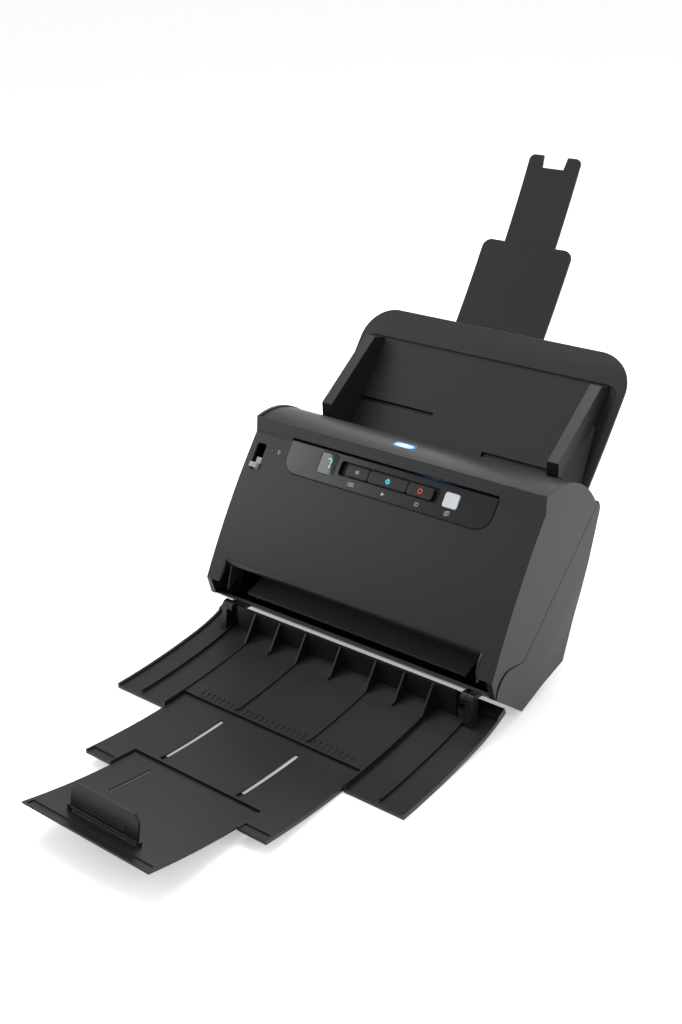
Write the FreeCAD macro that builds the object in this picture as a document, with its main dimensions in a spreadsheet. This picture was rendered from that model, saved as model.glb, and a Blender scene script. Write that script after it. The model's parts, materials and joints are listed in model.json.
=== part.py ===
import FreeCAD, Part
import math
import os
import Sketcher
from FreeCAD import Placement, Rotation, Vector

# Sheet-fed document scanner with a fold-up eject tray and an arched feed tray.
# Millimetres. X runs across the paper, Y from the front to the back, Z up.
# Every piece is drawn in machine axes or in a local frame on a sloped face, and its
# Placement puts it on the desk, with the origin under the middle of the whole outline.

# ---------------------------------------------------------------- driving sizes
sizes = {
    # whole machine
    "width": 291.0,            # over the side panels
    "foot_height": 3.0,
    "wall": 2.5,               # moulded cover wall
    "cheek": 6.0,              # cheek wall of the opening unit
    "side_wall": 3.0,          # side panels of the base
    "parting": 0.6,            # visible line between two covers
    "clearance": 0.4,          # between bodies that move past each other
    "running": 0.05,           # radial clearance of a turning fit
    "sheet_metal": 2.0,
    # paper path: a straight run down from the entry
    "path_y": 45.0,
    "path_z": 133.0,
    "path_slope": 40.0,
    "path_length": 135.0,
    "path_gap": 2.4,
    "guide_plate": 2.0,
    "guide_inset": 34.0,       # from the machine's side to the guide plates
    "guide_half": "=width / 2 - guide_inset",
    "side_taper": 0.038,       # cheeks lean in towards the front, per millimetre
    "panel_lean": 1.8,         # side panels lean in towards the back
    "panel_lean_start": 30.0,
    "panel_lean_end": 52.0,
    # opening unit
    "pivot_y": -78.0,
    "pivot_z": 31.0,
    "boss_radius": 18.5,
    "pivot_pin": 5.0,
    "arm_inset": 3.0,          # from the cheek's inside to the middle of the steel arm
    "fold_y": -27.3,
    "fold_z": 159.0,
    "fold_round": 5.0,
    "face_slope": 50.2,        # slope of the front face at its top
    "face_radius": 660.0,
    "face_length": 133.0,
    "seam_y": -26.0,
    "slot_inset": 15.5,
    "slot_half": "=width / 2 - slot_inset",
    "slot_start": 111.0,       # along the face, where the lip begins to roll in
    "lip_round": 6.0,
    "lip_depth": 4.0,
    "ridge_y": -12.0,
    "ridge_z": 106.5,
    "ridge_radius": 67.0,
    "ridge_back": 29.3,
    "ridge_drop": 25.0,
    "ear_rise": 0.8,
    "ear_back": 41.0,
    # control panel and keys
    "panel_inset": 43.5,
    "panel_half": "=width / 2 - panel_inset",
    "panel_middle": 13.0,
    "panel_length": 26.5,
    "panel_corner": 14.0,
    "panel_proud": 0.8,
    "panel_seat": 1.0,
    "well_left": -46.5,
    "well_right": 51.9,
    "well_length": 12.6,
    "well_middle": 2.8,
    "key_length": 9.6,
    "key_split_one": -17.6,
    "key_split_two": 21.0,
    "key_inset": 0.7,
    "key_gap": 0.5,
    "key_height": "=wall + key_top - key_travel",
    "key_corner": 2.2,
    "key_top": 0.3,
    "key_travel": 0.8,
    "window_left": -68.0,
    "window_width": 17.5,
    "window_length": 19.0,
    "window_middle": 3.2,
    "window_height": 1.6,
    "side_key_left": 56.5,
    "side_key_width": 13.5,
    "side_key_length": 12.3,
    "side_key_middle": 2.4,
    "lever_inset": 14.0,
    "lever_x": "=lever_inset - width / 2",
    "lever_slot_width": 9.6,
    "lever_slot_length": 23.6,
    "lever_slot_middle": 20.6,
    "lever_travel": 14.0,
    "lever_knob_length": 4.4,
    "power_tilt": -3.4,
    "power_length": 20.0,
    "power_width": 7.6,
    "power_rim": 2.4,
    # rollers and drive
    "roller_radius": 10.0,
    "idler_radius": 7.0,
    "shaft_radius": 3.0,
    "feed_margin_path": 8.0,
    "feed_at": "=roller_radius * 3.3 - feed_margin_path",   # keeps the tyre off the rear cover
    "roller_step": 35.0,
    "drive_at": "=feed_at + roller_step",
    "eject_at": "=sensor_to + roller_radius",
    "pulley_radius": 8.0,
    "belt_thickness": 1.4,
    "belt_width": 5.0,
    "pulley_inset": 25.5,
    "pulley_x": "=width / 2 - pulley_inset",
    "motor_y": -8.0,
    "motor_level": 140.0,
    "motor_z": "=motor_level - sensor_to",
    "motor_radius": 16.0,
    "motor_length": 42.0,
    "frame_inset": 32.0,
    "frame_x": "=width / 2 - frame_inset",   # middle of the inner side frames
    "sensor_gap": 2.0,
    "sensor_length": 30.0,
    "sensor_from": "=drive_at + roller_radius + sensor_gap",
    "sensor_to": "=sensor_from + sensor_length",
    "sensor_depth": 13.0,
    # feed tray: an arc that steepens upwards
    "feed_y": 54.7,
    "feed_z": 143.9,
    "feed_slope": 46.5,
    "feed_radius": 1090.0,
    "feed_length": 114.5,
    "feed_tail": 12.5,
    "feed_inset": 12.5,
    "feed_half": "=width / 2 - feed_inset",
    "feed_corner": 31.0,
    "feed_plate": 3.2,
    "feed_recess": 1.6,
    "feed_margin": 7.0,        # flat rim beside the recess
    "feed_recess_half": "=feed_half - feed_margin",
    "feed_recess_end": 88.0,
    "housing_inset": 15.0,
    "housing_half": "=feed_half - housing_inset",
    "housing_depth": 8.4,
    "housing_wall": 2.0,
    "housing_short": 7.5,      # stops below the tray's top edge
    "rack_gap": 0.4,
    "stage_plate": 2.0,
    "stage_one_half": 44.0,
    "stage_two_half": 25.0,
    "stage_reach": 79.4,
    "stage_overlap": 11.0,
    "notch_half": 12.5,
    "notch_depth": 9.0,
    # document guides, racks and pinion
    "guide_margin": 18.0,
    "guide_face": "=feed_recess_half - guide_margin",
    "guide_top": 10.5,
    "guide_height": 34.0,
    "guide_from": 4.6,
    "guide_knee": 82.0,
    "guide_end_height": 13.0,
    "guide_to": 87.0,
    "guide_front_y": 31.8,
    "guide_front_z": 131.5,
    "skirt_reach": 9.5,
    "skirt_height": 26.0,
    "skirt_length": 52.0,
    "guide_closest": 30.0,     # each guide's face from the middle, when closed
    "guide_travel": "=guide_face - guide_closest",
    "guide_spread": 3.0,       # how far each guide opens beyond rest
    "rack_foot_start": 1.0,    # outwards from the guide's face
    "rack_foot_length": 3.5,
    "rack_lap": 11.0,          # each rack's reach past the middle
    "tooth_module": 1.0,
    "pinion_teeth": 14.0,
    "tooth_rise": 0.8,         # above the pitch line
    "tooth_root": 1.3,         # below it
    "tooth_share": 0.34,       # of the pitch, at the pitch line
    "pinion_at": 17.0,
    "pinion_pin": 2.4,
    "rack_back": 4.0,
    "rack_foot": 1.8,
    # eject tray and its extensions: arcs that rise away from the machine
    "tray_radius": 668.0,
    "tray_low_y": -190.0,
    "tray_rear_radius": 150.0,
    "tray_turn": 6.0,          # where the rear curve takes over
    "tray_rear": 22.0,
    "tray_inset": 1.5,
    "tray_half": "=width / 2 - tray_inset",
    "lobe_width": 54.0,
    "tray_lobe_inner": "=tray_half - lobe_width",
    "tray_front": -2.1,        # angle of the lobes' front edge
    "tray_middle": -0.15,      # angle of the middle plate's front edge
    "lobe_plate": 2.6,
    "tray_deck": 4.2,          # underside of the middle plate, above the arc
    "tray_deck_plate": 1.7,
    "tray_rear_block": 8.0,
    "rib_width": 1.6,
    "rib_height": 2.6,
    "tray_wall_y": -98.5,      # back of the low wall across the tray's hinge end
    "tray_wall_top": 30.0,
    "tray_wall": 2.0,
    "tray_wall_half": "=arm_inner - bracket_width - 5",
    "tray_wall_foot": 14.5,    # angle of the wall's foot on the rear curve
    "fin_start": 7.4,          # angle where each fin rises from the deck
    "arm_margin": 22.0,        # from the tray's side to the hinge arm's inner face
    "arm_inner": "=tray_half - arm_margin",
    "arm_width": 5.5,
    "arm_pivot_y": -98.0,
    "arm_pivot_z": 26.0,
    "arm_round": 5.0,
    "arm_pin": 2.0,
    "bracket_width": 5.0,
    "out_one_half": "=tray_lobe_inner - clearance",
    "out_one_front": -9.35,
    "out_one_middle": -7.15,
    "out_one_rear": 1.05,
    "out_one_deck": 2.2,
    "out_one_plate": 1.6,
    "out_finger": 27.6,        # width of each side finger of the first extension
    "out_two_half": "=out_one_half - out_finger",
    "out_two_front": -16.55,
    "out_two_rear": -6.3,
    "out_two_deck": 0.4,
    "out_two_plate": 1.5,
    "out_slot_inset": 24.0,
    "out_slot_x": "=out_two_half - out_slot_inset",
    "out_slot_width": 4.0,
    "out_slot_from": -203.0,
    "out_slot_to": -270.0,
    "stop_inset": 29.3,
    "stop_half": "=out_two_half - stop_inset",
    "stop_height": 19.5,
    "stop_at": -14.95,         # angle of the flap's hinge line
    "stop_thick": 2.2,
    "stop_barrel": 1.5,
    "stop_pin": 0.8,
    "stop_lift": 0.7,          # between the barrel and the plate
    "stop_chamfer": 5.0,
    # base
    "cover_top_y": 54.0,
    "cover_top_z": 129.0,
    "cover_knee_y": 31.0,
    "cover_knee_z": 66.0,
    "cover_heel_y": 7.0,
    "cover_heel_z": 12.0,
    "toe_y": -58.0,
    "chin_y": -96.0,
    "chin_z": 32.0,
    "pan_inset": 5.5,          # inside the side frames
    "pan_half": "=frame_x - pan_inset",
    "pan_front": -48.0,
    "pan_back": 60.0,
    "foot_radius": 8.0,
    "foot_inset": 16.0,
    "foot_x": "=pan_half - foot_inset",
    "socket_tilt": -110.0,
    "socket_at": 52.0,         # down the back wall
    "power_socket_inset": 18.5,
    "power_socket_x": "=power_socket_inset - frame_x",
    "data_socket_inset": 43.5,
    "data_socket_x": "=data_socket_inset - frame_x",
    "board_inset": 9.5,
    "board_length": 124.0,
    "board_drop": 55.0,
    "board_thick": 1.6,
    "screw_radius": 3.2,
}

doc = FreeCAD.newDocument("DocumentScanner")
sheet = doc.addObject("Spreadsheet::Sheet", "Sizes")
for row, (name, number) in enumerate(sizes.items(), start=1):
    sheet.set(f"A{row}", name)
    sheet.set(f"B{row}", str(number))
    sheet.setAlias(f"B{row}", name)
doc.recompute()


class Size:
    """A size that knows its value and the sheet expression that gives it."""

    def __init__(self, number, text):
        self.number = number
        self.text = text

    def __add__(self, other):
        other = size_of(other)
        return Size(self.number + other.number, f"({self.text} + {other.text})")

    def __sub__(self, other):
        other = size_of(other)
        return Size(self.number - other.number, f"({self.text} - {other.text})")

    def __mul__(self, other):
        other = size_of(other)
        return Size(self.number * other.number, f"({self.text} * {other.text})")

    def __truediv__(self, other):
        other = size_of(other)
        return Size(self.number / other.number, f"({self.text} / {other.text})")

    def __radd__(self, other):
        return size_of(other) + self

    def __rsub__(self, other):
        return size_of(other) - self

    def __rmul__(self, other):
        return size_of(other) * self

    def __neg__(self):
        return Size(-self.number, f"(0 - {self.text})")


def size_of(value):
    return value if isinstance(value, Size) else Size(float(value), repr(float(value)))


def cell(name):
    return Size(float(sheet.get(name)), f"Sizes.{name}")


def sine(angle):
    angle = size_of(angle)
    return Size(math.sin(math.radians(angle.number)), f"sin({angle.text})")


def cosine(angle):
    angle = size_of(angle)
    return Size(math.cos(math.radians(angle.number)), f"cos({angle.text})")


def root(value):
    return Size(math.sqrt(value.number), f"sqrt({value.text})")


def whole(value):
    return Size(float(math.floor(value.number)), f"floor({value.text})")


half_turn = 180 / math.pi
half_width = cell("width") / 2
across = "YZ_Plane"      # side view: sketch axes are Y and Z, pads run along X
front = "XZ_Plane"       # front view: sketch axes are X and Z
plan = "XY_Plane"        # plan view: sketch axes are X and Y, pads run along Z


# ---------------------------------------------------------------- drawing helpers
class Bend:
    """An arc between two corners of an outline; turn is 1 for anticlockwise, -1 for clockwise.

    A half turn is fixed by its middle instead of its radius.
    """

    def __init__(self, radius, turn, half=False):
        self.radius = size_of(radius)
        self.turn = turn
        self.half = half


def arc_between(start, end, radius, turn):
    """The minor arc from start to end as an anticlockwise ArcOfCircle."""
    middle = (start + end) * 0.5
    chord = end - start
    left = Vector(-chord.y, chord.x, 0).normalize()
    reach = math.sqrt(max(radius**2 - (chord.Length / 2) ** 2, 0.0))
    centre = middle + left * (reach * turn)
    first, last = (start, end) if turn > 0 else (end, start)
    from_angle = math.atan2(first.y - centre.y, first.x - centre.x)
    to_angle = math.atan2(last.y - centre.y, last.x - centre.x)
    if to_angle <= from_angle:
        to_angle += 2 * math.pi
    return Part.ArcOfCircle(Part.Circle(centre, Vector(0, 0, 1), radius), from_angle, to_angle)


def outline(sketch, steps):
    """A closed outline whose corners are bound to the sheet."""
    corners = [i for i, step in enumerate(steps) if not isinstance(step, Bend)]
    points = [tuple(size_of(v) for v in steps[i]) for i in corners]
    spots = [Vector(a.number, b.number, 0) for a, b in points]
    pieces, bends = [], []
    for n, i in enumerate(corners):
        after = steps[(i + 1) % len(steps)]
        bend = after if isinstance(after, Bend) else None
        start, end = spots[n], spots[(n + 1) % len(spots)]
        if bend:
            pieces.append(arc_between(start, end, bend.radius.number, bend.turn))
        else:
            pieces.append(Part.LineSegment(start, end))
        bends.append(bend)
    first = sketch.GeometryCount
    sketch.addGeometry(pieces, False)
    starts = [2 if bend and bend.turn < 0 else 1 for bend in bends]
    rules, texts = [], []
    for n, bend in enumerate(bends):
        follower = (n + 1) % len(bends)
        rules.append(Sketcher.Constraint("Coincident", first + n, 3 - starts[n], first + follower, starts[follower]))
        texts.append(None)
        for kind, value in zip(("DistanceX", "DistanceY"), points[n]):
            rules.append(Sketcher.Constraint(kind, -1, 1, first + n, starts[n], value.number))
            texts.append(value.text)
        if bend and bend.half:
            chord = spots[follower] - spots[n]
            side = 0 if abs(chord.x) < abs(chord.y) else 1
            middle = (points[n][side] + points[follower][side]) / 2
            rules.append(Sketcher.Constraint(("DistanceX", "DistanceY")[side], -1, 1, first + n, 3, middle.number))
            texts.append(middle.text)
        elif bend:
            rules.append(Sketcher.Constraint("Radius", first + n, bend.radius.number))
            texts.append(bend.radius.text)
    bind_rules(sketch, rules, texts)


def circle(sketch, a, b, radius):
    a, b, radius = size_of(a), size_of(b), size_of(radius)
    middle = Vector(a.number, b.number, 0)
    index = sketch.addGeometry(Part.Circle(middle, Vector(0, 0, 1), radius.number), False)
    rules = [
        Sketcher.Constraint("DistanceX", -1, 1, index, 3, a.number),
        Sketcher.Constraint("DistanceY", -1, 1, index, 3, b.number),
        Sketcher.Constraint("Radius", index, radius.number),
    ]
    bind_rules(sketch, rules, [a.text, b.text, radius.text])


def bind_rules(sketch, rules, texts):
    first = sketch.ConstraintCount
    sketch.addConstraint(rules)
    for n, text in enumerate(texts):
        if text is not None:
            sketch.setExpression(f"Constraints[{first + n}]", text)


def bind(thing, **expressions):
    for path, value in expressions.items():
        thing.setExpression(path.replace("__", "."), size_of(value).text)


def new_body(label):
    body = doc.addObject("PartDesign::Body", "Body_" + label)
    body.Label = label
    body.AllowCompound = True
    return body


def place(thing, y=0.0, z=0.0, angle=None, x=0.0):
    """Stands a piece on the desk: its frame's origin at (x, y, z), turned about X by angle."""
    bind(thing, Placement__Base__x=size_of(x), Placement__Base__y=middle_shift() + y,
         Placement__Base__z=cell("foot_height") + z)
    if angle is not None:
        thing.Placement = Placement(Vector(), Rotation(Vector(1, 0, 0), size_of(angle).number))
        bind(thing, Placement__Rotation__Angle=angle)


def new_sketch(body, view, lift=None, tilt=None):
    """A sketch on one of the body's own planes; lift moves it along the plane's normal."""
    sketch = body.newObject("Sketcher::SketchObject", body.Name + "_sketch")
    plane = [f for f in body.Origin.OriginFeatures if f.Role == view][0]
    sketch.AttachmentSupport = [(plane, "")]
    sketch.MapMode = "FlatFace"
    if lift is not None:
        bind(sketch, AttachmentOffset__Base__z=lift)
    if tilt is not None:
        angle, move_y, move_z = tilt
        sketch.AttachmentOffset = Placement(Vector(), Rotation(Vector(1, 0, 0), size_of(angle).number))
        bind(sketch, AttachmentOffset__Base__y=move_y, AttachmentOffset__Base__z=move_z,
             AttachmentOffset__Rotation__Angle=angle)
    return sketch


def shapes_on(sketch, shapes):
    for shape in shapes:
        if isinstance(shape, tuple):
            circle(sketch, *shape)
        else:
            outline(sketch, shape)
    return sketch


def pad(body, view, shapes, length, lift=None, both=True, tilt=None):
    sketch = shapes_on(new_sketch(body, view, lift, tilt), shapes)
    feature = body.newObject("PartDesign::Pad", body.Name + "_pad")
    feature.Profile = sketch
    feature.SideType = "Symmetric" if both else "One side"
    bind(feature, Length=length)
    sketch.Visibility = False
    return feature


cuts = []


def cut(body, view, shapes, length=None, lift=None, both=True, tilt=None, reverse=False):
    sketch = shapes_on(new_sketch(body, view, lift, tilt), shapes)
    feature = body.newObject("PartDesign::Pocket", body.Name + "_cut")
    feature.Profile = sketch
    feature.SideType = "Symmetric" if both else "One side"
    feature.Reversed = reverse
    if length is None:
        feature.Type = "ThroughAll"
    else:
        bind(feature, Length=length)
    cuts.append(feature)
    return feature


def turn_about_x(body, bands):
    """Rings or shafts about the body's X axis: each band is (from x, to x, inner radius, outer radius)."""
    sketch = new_sketch(body, plan)
    for x_from, x_to, inner, outer in bands:
        outline(sketch, [(x_from, inner), (x_to, inner), (x_to, outer), (x_from, outer)])
    feature = body.newObject("PartDesign::Revolution", body.Name + "_turned")
    feature.Profile = sketch
    feature.ReferenceAxis = (sketch, ["H_Axis"])
    feature.Angle = 360
    return feature


def round_edges(body, radius, wanted, kind="Fillet"):
    """Rounds or chamfers the tip's edges that the test picks by their middle and direction."""
    doc.recompute()
    tip = body.Tip
    names = []
    for n, edge in enumerate(tip.Shape.Edges, start=1):
        middle = edge.CenterOfMass
        way = edge.Vertexes[-1].Point - edge.Vertexes[0].Point
        if wanted(middle, way.normalize() if way.Length > 0 else way, edge):
            names.append(f"Edge{n}")
    if not names:
        raise RuntimeError(f"{body.Label}: no edge to round")
    feature = body.newObject("PartDesign::" + kind, body.Name + "_rounded")
    feature.Base = (tip, names)
    bind(feature, **{"Radius" if kind == "Fillet" else "Size": radius})
    body.Tip = feature
    return feature


def box_of(x_from, x_to, y_from, y_to):
    return [(x_from, y_from), (x_to, y_from), (x_to, y_to), (x_from, y_to)]


def centred(width, length, x=0.0, y=0.0):
    w, n = size_of(width) / 2, size_of(length) / 2
    return box_of(x - w, x + w, y - n, y + n)


def stadium(width, length, x=0.0, y=0.0):
    """A slot outline with round ends, long side along X."""
    r, straight = size_of(width) / 2, (size_of(length) - width) / 2
    return [(x - straight, y - r), (x + straight, y - r), Bend(r, 1, half=True), (x + straight, y + r),
            (x - straight, y + r), Bend(r, 1, half=True)]


# ---------------------------------------------------------------- frames of the machine
def on_path(along, above):
    """A point along the paper path, and above it towards the opening unit."""
    slope = cell("path_slope")
    return (cell("path_y") - along * cosine(slope) - above * sine(slope),
            cell("path_z") - along * sine(slope) + above * cosine(slope))


def on_arc(centre, radius, angle):
    """A point on a curve that is hollow upwards; angle is measured from straight down, towards the back."""
    return (centre[0] + radius * sine(angle), centre[1] - radius * cosine(angle))


def band(centre, radius, low, high, angle_from, angle_to):
    """A strip between two heights above the lowest curve, from one angle to another."""
    outer, inner = radius - low, radius - high
    return [on_arc(centre, outer, angle_from), Bend(outer, 1), on_arc(centre, outer, angle_to),
            on_arc(centre, inner, angle_to), Bend(inner, -1), on_arc(centre, inner, angle_from)]


def face_centre():
    slope = cell("face_slope")
    return (cell("fold_y") + cell("face_radius") * sine(slope),
            cell("fold_z") - cell("face_radius") * cosine(slope))


def face_angle(down):
    return cell("face_slope") + size_of(down) * half_turn / cell("face_radius")


def on_face(down, depth=0.0):
    """A point on the front face, measured down from the fold and inwards."""
    centre, reach = face_centre(), cell("face_radius") - depth
    angle = face_angle(down)
    return (centre[0] - reach * sine(angle), centre[1] + reach * cosine(angle))


def face_shift(point, down, along, inward):
    """Moves a point along the face (downhill) and inwards, with the face's direction at down."""
    angle = face_angle(down)
    return (point[0] - along * cosine(angle) + inward * sine(angle),
            point[1] - along * sine(angle) - inward * cosine(angle))


def on_ridge(y, lift=0.0):
    radius = cell("ridge_radius") + lift
    return (y, cell("ridge_z") + root(radius * radius - (y - cell("ridge_y")) * (y - cell("ridge_y"))))


pivot = (cell("pivot_y"), cell("pivot_z"))
feed_base = (cell("feed_y"), cell("feed_z"))
tray_centre = (cell("tray_low_y"), cell("tray_radius") - cell("foot_height"))
feed_centre = (size_of(0.0), cell("feed_radius"))     # in the feed tray's own frame


def middle_shift():
    """Puts the middle of the whole depth, from the eject tip to the feed tip, over the origin."""
    front_tip = on_arc(tray_centre, cell("tray_radius") - cell("out_two_deck"), cell("out_two_front"))
    far = cell("feed_length") + cell("stage_reach") * 2
    deep = stage_depth(2) + cell("stage_plate")
    tip = on_arc(feed_centre, cell("feed_radius") + deep, feed_angle(far))
    slope = cell("feed_slope")
    back_tip = cell("feed_y") + tip[0] * cosine(slope) - tip[1] * sine(slope)
    return (front_tip[0] + back_tip) / -2.0


def stage_depth(stage):
    """How deep behind the feed surface each sliding plate of the extension starts."""
    first = cell("feed_plate") + cell("rack_gap") + 0.1
    return first if stage == 1 else first + cell("stage_plate") + cell("rack_gap")


def out_of_feed_frame(along, depth):
    """The machine point at a place along the feed tray and behind its surface."""
    slope = cell("feed_slope")
    return (cell("feed_y") + along * cosine(slope) + depth * sine(slope),
            cell("feed_z") + along * sine(slope) - depth * cosine(slope))


def feed_angle(along):
    return size_of(along) * half_turn / cell("feed_radius")


def feed_band(depth_from, depth_to, along_from, along_to):
    """A strip of the feed tray, with depths measured behind its paper surface."""
    return band(feed_centre, cell("feed_radius"), -size_of(depth_to), -size_of(depth_from),
                feed_angle(along_from), feed_angle(along_to))


def in_feed_frame(y, z):
    """A machine point in the feed tray's own frame: along the tray, and out of it."""
    slope = cell("feed_slope")
    dy, dz = y - cell("feed_y"), z - cell("feed_z")
    return (dy * cosine(slope) + dz * sine(slope), dz * cosine(slope) - dy * sine(slope))


# ---------------------------------------------------------------- opening unit: covers
def front_cover():
    body = new_body("front_cover")
    end = cell("face_length")
    gap = cell("parting") / 2
    ear = cell("ear_rise")
    ear_radius = cell("ridge_radius") + ear
    ring = cell("boss_radius") + cell("parting")
    side = [
        on_ridge(cell("seam_y"), ear), Bend(ear_radius, -1), on_ridge(cell("ear_back"), ear),
        on_path(-6.0, gap), on_path(cell("path_length"), gap),
        (pivot[0], pivot[1] + ring), Bend(ring, 1), (pivot[0] - ring * cosine(3.0), pivot[1] + ring * sine(3.0)),
        on_face(end), Bend(cell("face_radius"), -1), on_face(0.0),
    ]
    pad(body, across, [side], cell("width"))
    inner = cell("face_radius") - cell("wall")
    inside = [
        on_face(0.0, cell("wall")),
        (cell("seam_y") + cell("parting"), cell("ridge_z") + cell("ridge_radius") * 2),
        (cell("path_y") * 2, cell("ridge_z") + cell("ridge_radius") * 2),
        (cell("path_y") * 2, -cell("path_y")), (cell("pivot_y") * 2, -cell("path_y")),
        on_face(end, -cell("wall")), on_face(end, cell("wall")), Bend(inner, -1),
    ]
    cut(body, across, [inside], cell("width") - cell("cheek") * 2)
    start = cell("slot_start")
    slot = [on_face(start, -cell("wall")), on_face(start, cell("wall") * 2),
            on_face(end + 5.0, cell("wall") * 2), on_face(end + 5.0, -cell("wall"))]
    cut(body, across, [slot], cell("slot_half") * 2)
    outer_round, inner_round = cell("lip_round"), cell("lip_round") - cell("wall")
    middle = on_face(start, outer_round)
    depth = cell("lip_depth")
    lip = [
        on_face(start), Bend(outer_round, 1), face_shift(middle, start, outer_round, 0.0),
        face_shift(middle, start, outer_round, depth), face_shift(middle, start, inner_round, depth),
        face_shift(middle, start, inner_round, 0.0), Bend(inner_round, -1), on_face(start, cell("wall")),
    ]
    pad(body, across, [lip], cell("slot_half") * 2)
    # cheeks lean in towards the front
    lean = cell("side_taper")
    far = 90.0
    for hand in (1, -1):
        wedge = [(half_width * hand, 0.0), ((half_width + 8.0) * hand, 0.0),
                 ((half_width + 8.0) * hand, far), ((half_width - lean * far) * hand, far)]
        cut(body, front, [wedge], tilt=(cell("path_slope"), cell("path_z"), -cell("path_y")))
    # seat and window for the control panel, and the lever's slot
    face = face_frame_tilt(cell("panel_middle"))
    top = cell("panel_length") - cell("panel_middle")
    seat = box_of(-cell("panel_half") - 0.2, cell("panel_half") + 0.2, -top - 0.2, cell("panel_middle") + 3.0)
    cut(body, plan, [seat], cell("panel_seat") + 6.0, both=False, tilt=face(6.0))
    window = box_of(-cell("panel_half") + 5.0, cell("panel_half") - 5.0, -top + 4.0, cell("panel_middle") - 3.5)
    cut(body, plan, [window], 20.0, both=False, tilt=face(6.0))
    lever = face_frame_tilt(cell("lever_slot_middle"))
    slot = centred(cell("lever_slot_width"), cell("lever_slot_length"), cell("lever_x"))
    cut(body, plan, [slot], 20.0, both=False, tilt=lever(6.0))
    fold_z = cell("fold_z").number
    round_edges(body, cell("fold_round"), lambda p, w, e: abs(w.x) > 0.99 and abs(p.z - fold_z) < 1.0
                and abs(p.y - cell("fold_y").number) < 1.0)
    # the tab's lower corners are large curves
    seat_z = on_face(cell("panel_length"))[1].number
    round_edges(body, cell("panel_corner"), lambda p, w, e: abs(abs(p.x) - cell("panel_half").number) < 0.5
                and abs(p.z - seat_z) < 2.5 and e.Length < 3.0 and abs(w.x) < 0.2)
    lever_top = [on_face(cell("lever_slot_middle") + s * cell("lever_slot_length") / 2)[1].number for s in (1, -1)]
    lever_x = cell("lever_x").number
    round_edges(body, 2.2, lambda p, w, e: abs(p.x - lever_x) < 8.0 and abs(w.x) < 0.1 and e.Length < 4.0
                and min(abs(p.z - z) for z in lever_top) < 3.0)
    place(body)


def face_frame_tilt(down):
    """A plan sketch's offset that lays it on the front face at down, raised by lift."""
    def raised(lift):
        spot = on_face(down, -size_of(lift))
        return (face_angle(down), spot[0], spot[1])
    return raised


def top_cover():
    body = new_body("top_cover")
    gap = cell("parting")
    wall, radius = cell("wall"), cell("ridge_radius")
    first = cell("seam_y") + gap * 2
    last = cell("ridge_back")
    inner = radius - wall
    centre_y, centre_z = cell("ridge_y"), cell("ridge_z")
    inner_first = (first + 1.0, centre_z + root(inner * inner - (first + 1.0 - centre_y) * (first + 1.0 - centre_y)))
    inner_last = (last - wall, centre_z + root(inner * inner - (last - wall - centre_y) * (last - wall - centre_y)))
    drop = cell("ridge_drop")
    side = [
        on_ridge(first), Bend(radius, -1), on_ridge(last),
        (last, on_ridge(last)[1] - drop), (last - wall, on_ridge(last)[1] - drop),
        inner_last, Bend(inner, 1), inner_first,
    ]
    pad(body, across, [side], cell("width") - (cell("cheek") + gap) * 2)
    spot = ridge_spot(1.0)
    hole = stadium(cell("power_width") + cell("power_rim") * 2, cell("power_length") + cell("power_rim") * 2)
    cut(body, plan, [hole], 8.0, both=False, tilt=(cell("power_tilt"), spot[0], spot[1]))
    ridge_end = last.number
    round_edges(body, 3.0, lambda p, w, e: abs(w.x) > 0.99 and abs(p.y - ridge_end) < 0.1
                and abs(p.z - on_ridge(last)[1].number) < 0.1)
    place(body)


def ridge_spot(lift):
    """A point above the ridge where the power key sits."""
    tilt, reach = cell("power_tilt"), cell("ridge_radius") + lift
    return (cell("ridge_y") - reach * sine(tilt), cell("ridge_z") + reach * cosine(tilt))


def place_on_face(body, down, lift=0.0):
    spot = on_face(down, -size_of(lift))
    place(body, spot[0], spot[1], face_angle(down))


# ---------------------------------------------------------------- opening unit: panel and keys
def key_outlines():
    """Each front key's left and right edge, in the panel's frame."""
    left = cell("well_left") + cell("key_inset") + 5.8
    right = cell("well_right") - cell("key_inset") - 5.6
    gap = cell("key_gap") / 2
    one, two = cell("key_split_one"), cell("key_split_two")
    return {"job_key": (left, one - gap), "start_key": (one + gap, two - gap), "stop_key": (two + gap, right)}


def control_panel():
    body = new_body("control_panel")
    low = cell("panel_middle") - cell("panel_length")
    high = cell("panel_middle") + 0.8
    under = cell("panel_seat") - 0.1
    plate = box_of(-cell("panel_half"), cell("panel_half"), low, high)
    pad(body, plan, [plate], under + cell("panel_proud"), lift=-under, both=False)
    holes = [
        box_of(cell("well_left"), cell("well_right"), cell("well_middle") - cell("well_length") / 2,
               cell("well_middle") + cell("well_length") / 2),
        centred(cell("window_width") + 0.4, cell("window_length") + 0.4,
                cell("window_left") + cell("window_width") / 2, cell("window_middle")),
        centred(cell("side_key_width") + 0.8, cell("side_key_length") + 0.8,
                cell("side_key_left") + cell("side_key_width") / 2, cell("side_key_middle")),
    ]
    cut(body, plan, holes, 20.0)
    corner, lower = cell("panel_half").number, low.number
    round_edges(body, cell("panel_corner") - 0.2, lambda p, w, e: abs(w.z) > 0.99 and abs(abs(p.x) - corner) < 0.1
                and abs(p.y - lower) < 0.1)
    inner_half = corner - 20.0
    round_edges(body, 2.6, lambda p, w, e: abs(w.z) > 0.99 and abs(p.x) < inner_half)
    top = cell("panel_proud").number
    round_edges(body, 0.45, lambda p, w, e: abs(p.z - top) < 1e-4
                and (abs(p.x) > corner - 12 or p.y < lower + 0.1))
    place_on_face(body, cell("panel_middle"))


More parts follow.
